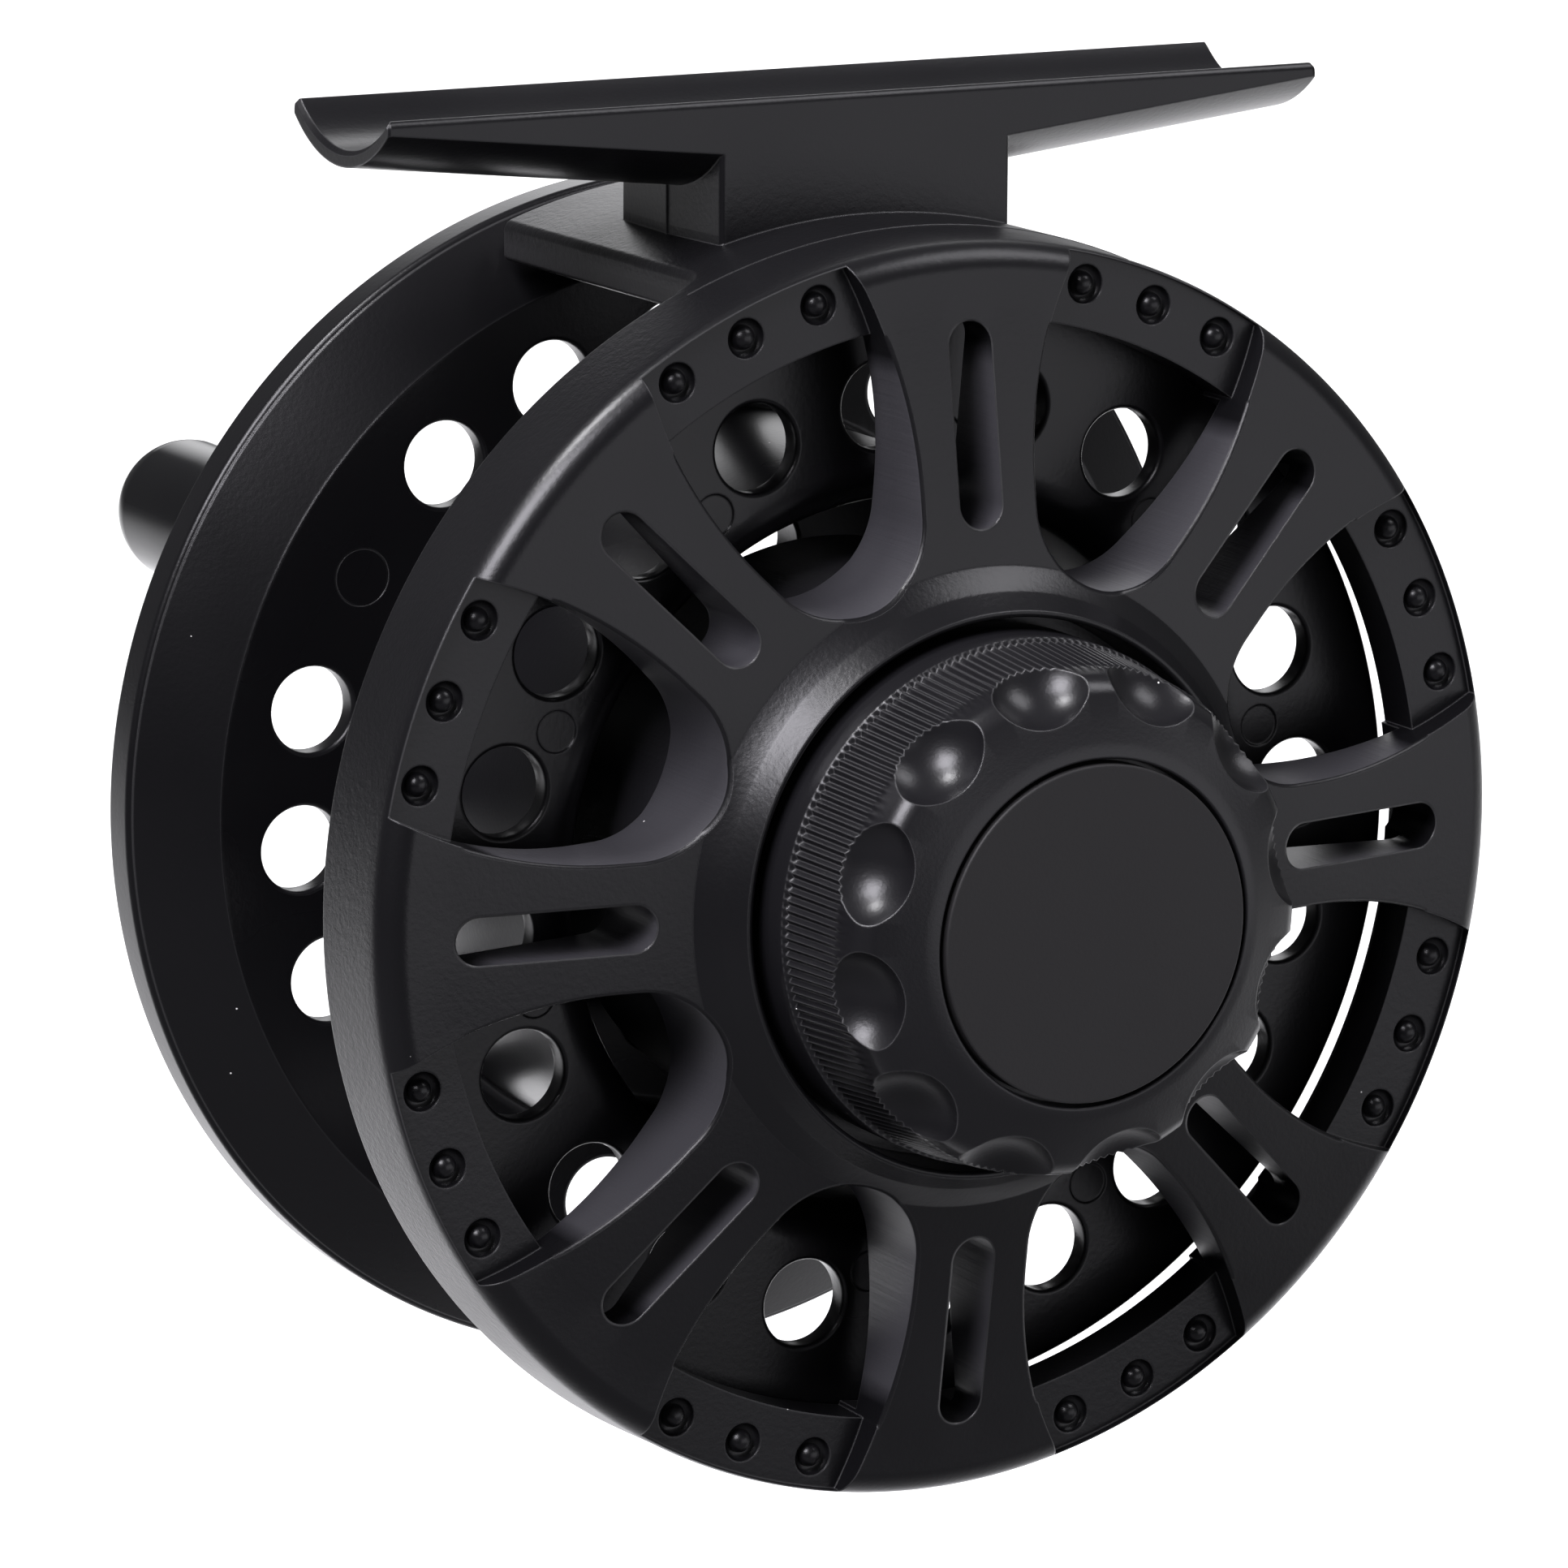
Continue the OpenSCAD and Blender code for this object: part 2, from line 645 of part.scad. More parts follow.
// Button that is pressed to open the clip and let the spool off
module release_cap() {
    color([0.05, 0.05, 0.06]) at_spindle() difference() {
        rotate_extrude() polygon(concat(
            [[0, -41.8], [5.6, -41.8], [5.6, -38.2], [9.6, -38.2], [9.85, -38.4],
                [9.85, cap_groove_front + 0.05], [9.2, cap_groove_front + 0.05], [9.2, -42.0]],
            arc(8.4, -42.2, 0.8, 0, -80, 4),
            [[7.2, -43.1], [6.4, -42.75], [0, -42.75]]));
        ring_of(20) translate([0, 9.75, -44]) cylinder(r = 0.8, h = 3.6, $fn = 24);
    }
}

module cap_circlip() {
    color([0.55, 0.55, 0.58]) at_spindle() difference() {
        tube(cap_boss_in_r + 0.4, 9.3, cap_groove_back + 0.02, cap_groove_front - 0.02);
        translate([-1.2, 0, cap_groove_back - 1]) cube([2.4, 12, 3]);
    }
}

// ---------------------------------------------------------------- handle

module at_handle() {
    at_spindle() rotate([0, 0, -handle_angle]) translate([0, flange_hole_ring_r, 0]) children();
}

module handle_post() {
    color([0.75, 0.76, 0.78]) at_handle() rotate_extrude($fn = 48) polygon([
        [0, far_front - 0.02], [1.98, far_front - 0.02], [1.98, -38.52], [post_r, -38.52],
        [post_r, -41.9], [1.4, -41.9], [1.4, -42.7], [post_r, -42.7], [post_r, -60.0],
        [post_r - 0.4, -60.4], [0, -60.4]]);
}

module handle_washer() {
    color([0.75, 0.72, 0.62]) at_handle() tube(4.3, post_r + 0.05, -39.1, -38.55);
}

module handle_snap_ring() {
    color([0.65, 0.66, 0.68]) at_handle() difference() {
        tube(2.45, 1.45, -42.6, -42.0);
        translate([0, -0.8, -43]) cube([3, 1.6, 2]);
    }
}

module handle_knob() {
    base = -39.3;
    ball = handle_r - handle_end;
    color([0.03, 0.03, 0.035]) at_handle() difference() {
        rotate_extrude($fn = 72) polygon(concat(
            [[0, base], [4.1, base], [4.5, base - 0.4], [4.5, base - 1.6], [4.15, base - 2.4],
                [4.0, base - 5.0], [4.2, base - 10.0], [4.7, base - 16.0],
                [handle_r - 0.1, base - 20.5]],
            arc(0, ball, handle_r, 0, -90, 16)));
        drum(post_r + fit_gap, -60.6, base + 1);
        drum(2.55, -42.75, -41.85);
    }
}

// ---------------------------------------------------------------- drawing

frame();
spindle();
knob_screw();
knob_washer();
drag_knob();
knob_cap();
detent_ball();
detent_spring();
thrust_nut();
pressure_plate();
disc_springs();
front_friction_washer();
drag_rotor();
rotor_bush();
rear_friction_washer();
drag_cover();
cover_circlip();
shaft_seal();
click_gear();
click_pawl();
pawl_pin();
pawl_spring();
clutch_shell();
clutch_rollers();
spool();
bearing_outer_race();
bearing_balls();
bearing_inner_race();
latch_clip();
release_cap();
cap_circlip();
release_spring();
handle_post();
handle_washer();
handle_snap_ring();
handle_knob();
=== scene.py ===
"""Fly reel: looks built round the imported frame.

Shapes are drawn in the spindle frame, in millimetres: X right and Y up as seen from the knob, and
Z along the spindle towards the knob, with 0 at the plane of the dimpled ledges. place() moves a
finished piece into the row frame.
"""

import json
import math

import bmesh
import bpy
from mathutils import Matrix, Quaternion, Vector

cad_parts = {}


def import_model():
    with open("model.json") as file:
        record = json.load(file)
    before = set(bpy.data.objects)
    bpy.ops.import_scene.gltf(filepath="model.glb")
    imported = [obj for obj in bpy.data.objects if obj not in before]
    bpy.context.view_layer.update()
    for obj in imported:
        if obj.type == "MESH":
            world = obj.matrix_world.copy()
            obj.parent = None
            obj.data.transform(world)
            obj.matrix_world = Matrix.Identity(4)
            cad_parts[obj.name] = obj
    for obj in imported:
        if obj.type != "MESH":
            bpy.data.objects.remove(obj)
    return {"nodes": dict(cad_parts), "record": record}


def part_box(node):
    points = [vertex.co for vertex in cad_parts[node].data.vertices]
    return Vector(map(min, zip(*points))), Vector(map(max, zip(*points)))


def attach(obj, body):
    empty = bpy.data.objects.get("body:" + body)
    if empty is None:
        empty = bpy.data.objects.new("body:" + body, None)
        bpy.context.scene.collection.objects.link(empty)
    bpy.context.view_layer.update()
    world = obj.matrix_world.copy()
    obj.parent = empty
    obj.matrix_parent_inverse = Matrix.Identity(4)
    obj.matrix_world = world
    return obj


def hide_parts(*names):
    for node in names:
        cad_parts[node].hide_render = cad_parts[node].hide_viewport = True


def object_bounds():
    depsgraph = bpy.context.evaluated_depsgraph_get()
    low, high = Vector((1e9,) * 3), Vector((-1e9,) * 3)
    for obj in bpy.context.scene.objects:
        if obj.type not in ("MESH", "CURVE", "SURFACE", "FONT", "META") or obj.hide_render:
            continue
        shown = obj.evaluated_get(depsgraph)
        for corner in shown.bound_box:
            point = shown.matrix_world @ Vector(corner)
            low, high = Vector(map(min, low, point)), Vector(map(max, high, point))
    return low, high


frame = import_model()
CAD_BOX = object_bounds()

MM = 0.001
SPINDLE_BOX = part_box("spindle")
SPOOL_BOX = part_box("spool")
PALM_BACK = -41.4
AXIS_X = (SPINDLE_BOX[0].x + SPINDLE_BOX[1].x) / 2
AXIS_Z = (SPINDLE_BOX[0].z + SPINDLE_BOX[1].z) / 2
LEDGE_Y = SPOOL_BOX[1].y + PALM_BACK * MM
TO_ROW = (
    Matrix.Translation((AXIS_X, LEDGE_Y, AXIS_Z))
    @ Matrix.Rotation(math.radians(90), 4, "X")
    @ Matrix.Scale(MM, 4)
)

# Sizes that the looks share with the frame, in millimetres
RIM_R = 42.5
RIM_BACK_R = 42.8
RIM_BACK = -6.8
DIMPLE_RING_R = 40.2
DIMPLE_STEPS = (-8.0, 0.0, 8.0)
LEDGE_IN_R = 37.3
POCKET_R = RIM_R - 0.25
SPOKES = 8
SPOKE_HALF_W = 4.35
ROOT_R = 6.04
FLARE_R = 29.5
FLARE_AT = 26.5
SLOT_W = 3.4
SLOT_IN, SLOT_OUT = 25.6, 35.9
RISE_HUB, RISE_RIM = 4.5, 2.0
RISE_HUB_R, RISE_RIM_R = 21.6, 37.7
COLLAR_R, COLLAR_H = 20.1, 5.6
SADDLE_R = 10.0
SADDLE_DEPTH = 2.65
FOOT_TOP = 51.0
FOOT_LEN, FOOT_W = 70.6, 14.2
STEM_W = 22.5
FOOT_H = -18.6
HOLES = 20
HOLE_R, HOLE_RING_R = 3.0, 31.0
HOLE_PHASE = 14.2
HANDLE_HOLE = 16
KNOB_R = 17.7
CAP_R = 11.15
FINE = 1


# ------------------------------------------------------------------ shape tools


def arc(cx, cy, r, a0, a1, n):
    """Points along an arc, both ends included, angles in degrees."""
    return [
        (cx + r * math.cos(math.radians(a0 + (a1 - a0) * i / n)),
         cy + r * math.sin(math.radians(a0 + (a1 - a0) * i / n)))
        for i in range(n + 1)
    ]


def make_object(name, bm):
    """Object from a bmesh, with doubled points merged and faces turned outward."""
    bmesh.ops.remove_doubles(bm, verts=bm.verts, dist=1e-5)
    bmesh.ops.recalc_face_normals(bm, faces=bm.faces)
    mesh = bpy.data.meshes.new(name)
    bm.to_mesh(mesh)
    bm.free()
    obj = bpy.data.objects.new(name, mesh)
    bpy.context.scene.collection.objects.link(obj)
    return obj


def loft(name, rings, closed_path=False):
    """Skin over rings of equal length; the ends are capped unless the path is closed."""
    bm = bmesh.new()
    grid = [[bm.verts.new(p) for p in ring] for ring in rings]
    n = len(rings[0])
    last = len(grid) if closed_path else len(grid) - 1
    for i in range(last):
        a, b = grid[i], grid[(i + 1) % len(grid)]
        for k in range(n):
            bm.faces.new((a[k], a[(k + 1) % n], b[(k + 1) % n], b[k]))
    if not closed_path:
        bm.faces.new(grid[0])
        bm.faces.new(list(reversed(grid[-1])))
    return make_object(name, bm)


def lathe(name, profile, segments, shift=None):
    """Turned solid from a closed profile of (radius, height); shift(r, h, angle) moves a radius."""
    bm = bmesh.new()
    rings = []
    for s in range(segments):
        t = 2 * math.pi * s / segments
        ring = []
        for r, h in profile:
            rr = r + (shift(r, h, t) if shift and r > 0 else 0)
            ring.append(bm.verts.new((rr * math.sin(t), rr * math.cos(t), h)))
        rings.append(ring)
    n = len(profile)
    for s in range(segments):
        a, b = rings[s], rings[(s + 1) % segments]
        for k in range(n):
            j = (k + 1) % n
            if profile[k][0] == 0 and profile[j][0] == 0:
                continue
            corners = [a[k], a[j]]
            if profile[j][0] != 0:
                corners.append(b[j])
            if profile[k][0] != 0:
                corners.append(b[k])
            bm.faces.new(corners)
    return make_object(name, bm)


def turned(obj, degrees):
    """Turns an object clockwise round the spindle, as seen from the knob."""
    obj.data.transform(Matrix.Rotation(-math.radians(degrees), 4, "Z"))
    return obj


def copies(obj, count, phase=0.0, skip=()):
    """One object holding count copies of obj round the spindle; obj itself goes."""
    bm = bmesh.new()
    for i in range(count):
        if i in skip:
            continue
        part = obj.data.copy()
        part.transform(Matrix.Rotation(-math.radians(phase + i * 360 / count), 4, "Z"))
        bm.from_mesh(part)
        bpy.data.meshes.remove(part)
    name = obj.name
    discard(obj)
    mesh = bpy.data.meshes.new(name)
    bm.to_mesh(mesh)
    bm.free()
    ring = bpy.data.objects.new(name, mesh)
    bpy.context.scene.collection.objects.link(ring)
    return ring


def discard(obj):
    """Removes an object together with its mesh."""
    mesh = obj.data
    bpy.data.objects.remove(obj)
    bpy.data.meshes.remove(mesh)


def boolean(obj, tool, operation):
    """Applies a boolean and throws the tool away."""
    mod = obj.modifiers.new("boolean", "BOOLEAN")
    mod.object, mod.operation, mod.solver = tool, operation, "MANIFOLD"
    bpy.context.view_layer.update()
    result = bpy.data.meshes.new_from_object(
        obj.evaluated_get(bpy.context.evaluated_depsgraph_get())
    )
    obj.modifiers.clear()
    old, obj.data = obj.data, result
    bpy.data.meshes.remove(old)
    discard(tool)


def cut(obj, *tools):
    for tool in tools:
        boolean(obj, tool, "DIFFERENCE")


def join(obj, *tools):
    for tool in tools:
        boolean(obj, tool, "UNION")


def place(obj, body, slot, material, *nodes, sharp=28):
    """Moves a finished piece into the row frame and gives it shading, finish and body."""
    obj.data.transform(TO_ROW)
    obj.data.validate()
    obj.data.shade_smooth()
    obj.data.set_sharp_from_angle(angle=math.radians(sharp))
    mod = obj.modifiers.new("weighted_normals", "WEIGHTED_NORMAL")
    mod.keep_sharp, mod.weight = True, 80
    obj.data.materials.clear()
    obj.data.materials.append(material)
    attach(obj, body)
    if nodes:
        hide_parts(*nodes)
    return obj


# ------------------------------------------------------------------ materials

# Texture scales are per metre; lengths are in metres
PATCH_SCALE, SMEAR_SCALE, SAND_SCALE, WEAVE_SCALE = 60, 150, 1900, 2500
PEEL_DEPTH, SAND_DEPTH, DRAW_DEPTH = 0.00006, 0.0001, 0.00008
RING_DEPTH, WEAVE_DEPTH = 0.00005, 0.0001
DRAW_MARKS = (2200, 60, 2200)
TURNED_RINGS = (400, 6000, 400)
DUST_SCALE, DUST_SIZE, DUST_COLOR = 420, 0.035, (0.8, 0.79, 0.77)
# The second and third values paint a highlight along every rounded edge: how much paler it is, and
# how strongly it shows
EDGE_RADIUS, EDGE_HIGHLIGHT_LIFT, EDGE_HIGHLIGHT_SHARE = 0.00018, 0.05, 0.9
# Cosines between true and rounded normal where an edge starts and where it is full
EDGE_AGREES = (0.99, 0.85)
# How far a wall's normal may lean along the spindle
WALL_TILT = (0.15, 0.35)
# Radii in millimetres between which each mask rises and falls
WALL_RADII = (19.5, 20.5, 34.5, 36.0)
RIM_RADII = (41.5, 42.0, 43.1, 43.4)


def node_tree(name):
    """New material, its nodes, its shader and its object coordinates."""
    mat = bpy.data.materials.new(name)
    mat.use_nodes = True
    nt = mat.node_tree
    bsdf = nt.nodes["Principled BSDF"]
    coords = nt.nodes.new("ShaderNodeTexCoord")
    return mat, nt, bsdf, coords.outputs["Object"]


def noise(nt, vector, scale, detail=3.0, rough=0.55):
    tex = nt.nodes.new("ShaderNodeTexNoise")
    tex.inputs["Scale"].default_value = scale
    tex.inputs["Detail"].default_value = detail
    tex.inputs["Roughness"].default_value = rough
    nt.links.new(vector, tex.inputs["Vector"])
    return tex.outputs["Fac"]


def ramp(nt, value, low, high, out_low, out_high):
    """Maps a value linearly, clamped at both ends."""
    m = nt.nodes.new("ShaderNodeMapRange")
    m.inputs["From Min"].default_value = low
    m.inputs["From Max"].default_value = high
    m.inputs["To Min"].default_value = out_low
    m.inputs["To Max"].default_value = out_high
    nt.links.new(value, m.inputs["Value"])
    return m.outputs["Result"]


def math_node(nt, operation, *values):
    m = nt.nodes.new("ShaderNodeMath")
    m.operation = operation
    for socket, value in zip(m.inputs, values):
        if isinstance(value, (int, float)):
            socket.default_value = value
        else:
            nt.links.new(value, socket)
    return m.outputs[0]


def mix_color(nt, factor, a, b):
    """Blend from a to b; each is a colour or a colour socket."""
    m = nt.nodes.new("ShaderNodeMix")
    m.data_type = "RGBA"
    nt.links.new(factor, m.inputs[0])
    for socket, color in ((m.inputs[6], a), (m.inputs[7], b)):
        if isinstance(color, tuple):
            socket.default_value = (*color, 1)
        else:
            nt.links.new(color, socket)
    return m.outputs[2]


def vector_node(nt, operation, a, b):
    """Vector maths between a socket and a socket or constant."""
    m = nt.nodes.new("ShaderNodeVectorMath")
    m.operation = operation
    nt.links.new(a, m.inputs[0])
    if isinstance(b, tuple):
        m.inputs[1].default_value = b
    else:
        nt.links.new(b, m.inputs[1])
    return m.outputs["Value" if operation in ("DOT_PRODUCT", "DISTANCE") else "Vector"]


def stretched(nt, vector, scale):
    """Coordinates scaled per axis, for textures that run along one direction."""
    mapping = nt.nodes.new("ShaderNodeMapping")
    mapping.inputs["Scale"].default_value = scale
    nt.links.new(vector, mapping.inputs["Vector"])
    return mapping.outputs["Vector"]


def bump(nt, height, strength, distance, normal=None):
    b = nt.nodes.new("ShaderNodeBump")
    b.inputs["Strength"].default_value = strength
    b.inputs["Distance"].default_value = distance
    nt.links.new(height, b.inputs["Height"])
    if normal is not None:
        nt.links.new(normal, b.inputs["Normal"])
    return b.outputs["Normal"]


def specks(nt, vector, scale, share, size):
    """Mask of sparse round specks: 1 on a speck, 0 elsewhere."""
    tex = nt.nodes.new("ShaderNodeTexVoronoi")
    tex.feature = "F1"
    tex.inputs["Scale"].default_value = scale
    nt.links.new(vector, tex.inputs["Vector"])
    near = ramp(nt, tex.outputs["Distance"], size * 0.6, size, 1.0, 0.0)
    picked = nt.nodes.new("ShaderNodeSeparateColor")
    nt.links.new(tex.outputs["Color"], picked.inputs["Color"])
    chosen = ramp(nt, picked.outputs["Red"], 1 - share, 1 - share + 1e-3, 0.0, 1.0)
    return math_node(nt, "MULTIPLY", near, chosen)


def soft_edges(nt, radius):
    """Normal that rounds every sharp edge by a small radius, and a mask of those edges."""
    bevel = nt.nodes.new("ShaderNodeBevel")
    bevel.samples = 6
    bevel.inputs["Radius"].default_value = radius
    geo = nt.nodes.new("ShaderNodeNewGeometry")
    rounded = bevel.outputs["Normal"]
    agree = vector_node(nt, "DOT_PRODUCT", rounded, geo.outputs["Normal"])
    return rounded, ramp(nt, agree, *EDGE_AGREES, 0.0, 1.0)


def draft_walls(nt, vector):
    """Masks for walls along the spindle as the die leaves them: in the windows, and at the rim."""
    geo = nt.nodes.new("ShaderNodeNewGeometry")
    along = vector_node(nt, "DOT_PRODUCT", geo.outputs["Normal"], (0, 1, 0))
    wall = ramp(nt, math_node(nt, "ABSOLUTE", along), *WALL_TILT, 1.0, 0.0)
    across = vector_node(nt, "MULTIPLY", vector, (1, 0, 1))
    off = vector_node(nt, "DISTANCE", across, (AXIS_X, 0, AXIS_Z))
    inner, outer = (
        math_node(nt, "MULTIPLY", ramp(nt, off, a * MM, b * MM, 0.0, 1.0),
                  ramp(nt, off, c * MM, d * MM, 1.0, 0.0))
        for a, b, c, d in (WALL_RADII, RIM_RADII)
    )
    return math_node(nt, "MULTIPLY", wall, inner), math_node(nt, "MULTIPLY", wall, outer)


def satin_coat(name, color, rough, grain_size, grain, dust=0.07, specular=0.31,
               wall_rough=0.0, wall_highlight_color=None, rim_rough=0.0):
    """Sprayed satin coat: fine orange peel, patchy sheen, a painted highlight along the edges, a
    painted highlight on the window walls when a wall colour is given, and a little dust.
    """
    mat, nt, bsdf, vec = node_tree(name)
    patches = noise(nt, vec, PATCH_SCALE, 2.0)
    peel = noise(nt, vec, grain_size, 2.0, 0.6)
    dusty = specks(nt, vec, DUST_SCALE, dust, DUST_SIZE)
    rounded, edge_highlight_mask = soft_edges(nt, EDGE_RADIUS)
    walls, rim = draft_walls(nt, vec)
    base = mix_color(nt, patches, color, tuple(c * 1.25 for c in color))
    # Painted highlight: the window walls get a paler colour
    if wall_highlight_color:
        base = mix_color(nt, walls, base, wall_highlight_color)
    # Painted highlight: every rounded edge is blended toward a paler colour
    pale = tuple(c * 1.6 + EDGE_HIGHLIGHT_LIFT for c in color)
    edge_highlit_base = mix_color(nt, math_node(nt, "MULTIPLY", edge_highlight_mask, EDGE_HIGHLIGHT_SHARE), base, pale)
    nt.links.new(mix_color(nt, dusty, edge_highlit_base, DUST_COLOR), bsdf.inputs["Base Color"])
    sheen = ramp(nt, patches, 0.3, 0.7, rough - 0.03, rough + 0.04)
    sheen = math_node(nt, "MULTIPLY_ADD", rim, rim_rough, sheen)
    nt.links.new(math_node(nt, "MULTIPLY_ADD", walls, wall_rough, sheen), bsdf.inputs["Roughness"])
    bsdf.inputs["Specular IOR Level"].default_value = specular
    if wall_highlight_color:
        nt.links.new(ramp(nt, walls, 0.0, 1.0, specular, 1.0), bsdf.inputs["Specular IOR Level"])
    skin = bump(nt, peel, grain, PEEL_DEPTH, rounded)
    if rim_rough:
        sand = math_node(nt, "MULTIPLY", noise(nt, vec, SAND_SCALE, 4.0, 0.7), rim)
        skin = bump(nt, sand, 0.45, SAND_DEPTH, skin)
        drawn = noise(nt, stretched(nt, vec, DRAW_MARKS), 1.0, 3.0, 0.6)
        skin = bump(nt, math_node(nt, "MULTIPLY", drawn, walls), 0.4, DRAW_DEPTH, skin)
    nt.links.new(skin, bsdf.inputs["Normal"])
    return mat


def turned_metal(name, color, rough, metallic=1.0):
    """Bare turned metal with fine rings round the spindle's direction and faint smears."""
    mat, nt, bsdf, vec = node_tree(name)
    rings = noise(nt, stretched(nt, vec, TURNED_RINGS), 1.0, 2.0)
    smear = noise(nt, vec, SMEAR_SCALE, 3.0)
    base = mix_color(nt, smear, color, tuple(c * 0.85 for c in color))
    nt.links.new(base, bsdf.inputs["Base Color"])
    nt.links.new(ramp(nt, smear, 0.3, 0.7, rough * 0.85, rough * 1.2), bsdf.inputs["Roughness"])
    bsdf.inputs["Metallic"].default_value = metallic
    nt.links.new(bump(nt, rings, 0.15, RING_DEPTH), bsdf.inputs["Normal"])
    return mat


def fibrous(name, color, rough):
    """Matt pressed fibre or rubber."""
    mat, nt, bsdf, vec = node_tree(name)
    weave = noise(nt, vec, WEAVE_SCALE, 4.0)
    base = mix_color(nt, weave, color, tuple(c * 1.8 + 0.01 for c in color))
    nt.links.new(base, bsdf.inputs["Base Color"])
    nt.links.new(ramp(nt, weave, 0.3, 0.7, rough - 0.05, rough + 0.08), bsdf.inputs["Roughness"])
    nt.links.new(bump(nt, weave, 0.3, WEAVE_DEPTH), bsdf.inputs["Normal"])
    return mat


# The frame's coat has a painted highlight on its window walls: a paler colour there
COAT = satin_coat("satin_black_coat", (0.0042, 0.0041, 0.0048), 0.30, 2600, 0.22,
                  wall_rough=0.2, wall_highlight_color=(0.030, 0.029, 0.034), rim_rough=0.04)
SPOOL_COAT = satin_coat("spool_coat", (0.0036, 0.0035, 0.0041), 0.28, 2600, 0.16)
KNOB_COAT = satin_coat("turned_black", (0.0062, 0.0060, 0.0070), 0.31, 4200, 0.16, specular=0.36)
CAP_COAT = satin_coat("matt_cap", (0.011, 0.0105, 0.011), 0.55, 3600, 0.2, dust=0.03)
GLOSS = satin_coat("gloss_black", (0.003, 0.003, 0.0034), 0.16, 900, 0.04, dust=0.004)
SLOT_LOOKS = {
    "black_coat": COAT,
    "black_anodised": KNOB_COAT,
    "cap_plastic": CAP_COAT,
    "handle_plastic": GLOSS,
    "steel": turned_metal("turned_steel", (0.58, 0.58, 0.60), 0.28),
    "spring_steel": turned_metal("spring_steel", (0.42, 0.42, 0.45), 0.3),
    "chrome_steel": turned_metal("bearing_steel", (0.72, 0.73, 0.75), 0.12),
    "bare_aluminium": turned_metal("turned_aluminium", (0.66, 0.67, 0.69), 0.34),
    "brass": turned_metal("turned_brass", (0.70, 0.54, 0.24), 0.3),
    "bronze": turned_metal("sintered_bronze", (0.50, 0.32, 0.16), 0.45),
    "friction_lining": fibrous("friction_fibre", (0.05, 0.045, 0.04), 0.75),
    "seal_rubber": fibrous("seal_rubber", (0.02, 0.02, 0.02), 0.6),
}


# ------------------------------------------------------------------ frame casting


def face_height(r):
    """Height of the spoke face over the ledge at a radius."""
    t = (r - RISE_HUB_R) / (RISE_RIM_R - RISE_HUB_R)
    sloped = RISE_HUB + (RISE_RIM - RISE_HUB) * min(t, 1.0)
    if r < RISE_HUB_R:
        sloped = RISE_HUB + (COLLAR_H - RISE_HUB) * (RISE_HUB_R - r) / (RISE_HUB_R - COLLAR_R)
    if r > RISE_RIM_R:
        drop = max(0.0, r - (RIM_R - 2.1))
        return RISE_RIM - 2.3 + math.sqrt(max(0.0, 2.1**2 - drop**2))
    return sloped


def window_outline(reach, steps):
    """Right half of a window that points up, from its root to its outer end, then mirrored."""
    half = math.pi / SPOKES
    root_c = (SPOKE_HALF_W + ROOT_R) / math.sin(half)
    right = arc(0, root_c, ROOT_R, -90, -math.degrees(half), 3 * steps)
    flare_cx = -SPOKE_HALF_W - FLARE_R
    low, high = 0.0, math.pi / 2
    for _ in range(40):
        mid = (low + high) / 2
        x, y = flare_cx + FLARE_R * math.cos(mid), FLARE_AT + FLARE_R * math.sin(mid)
        low, high = (mid, high) if math.hypot(x, y) < reach else (low, mid)
    side = arc(flare_cx, FLARE_AT, FLARE_R, 0, math.degrees(low), 2 * steps)
    c, s = math.cos(half), math.sin(half)
    right += [(x * c + y * s, y * c - x * s) for x, y in side]
    corner = math.atan2(right[-1][0], right[-1][1])
    rim = [
        (reach * math.sin(corner * (1 - i / steps)), reach * math.cos(corner * (1 - i / steps)))
        for i in range(1, steps + 1)
    ]
    half_outline = right + rim
    left = [(-x, y) for x, y in reversed(half_outline[1:-1])]
    return half_outline + left


def outward(outline, distance):
    """The outline moved outward by a distance, point by point."""
    n = len(outline)
    moved = []
    for i, (x, y) in enumerate(outline):
        (ax, ay), (bx, by) = outline[i - 1], outline[(i + 1) % n]
        dx, dy = bx - ax, by - ay
        length = math.hypot(dx, dy) or 1.0
        moved.append((x + dy / length * distance, y - dx / length * distance))
    return moved


def soft_cutter(name, outline, bottom, radius, height, steps=4, back=None):
    """Straight cutter whose top edge flares by a fillet that follows the face's height."""
    rings = []
    if back is not None:
        back_plane, back_radius = back
        rings.append([(x, y, bottom) for x, y in outward(outline, back_radius)])
        for i in range(steps + 1):
            a = math.radians(80 * (1 - i / steps))
            ring = outward(outline, back_radius * (1 - math.cos(a)))
            z = back_plane + back_radius * (1 - math.sin(a))
            rings.append([(x, y, z) for x, y in ring])
    else:
        rings.append([(x, y, bottom) for x, y in outline])
    for i in range(steps + 1):
        a = math.radians(78 * i / steps)
        ring = outward(outline, radius * (1 - math.cos(a)))
        rings.append([
            (x, y, height(math.hypot(x, y)) - radius * (1 - math.sin(a))) for x, y in ring
        ])
    rings.append([(x, y, 12.0) for x, y in outward(outline, radius)])
    return loft(name, rings)


def slot_outline(steps):
    """Slot with round ends in the spoke that points up."""
    half = SLOT_W / 2
    outer = arc(0, SLOT_OUT, half, 0, 180, steps)[::-1]
    return outer + arc(0, SLOT_IN, half, 180, 360, steps)[::-1]


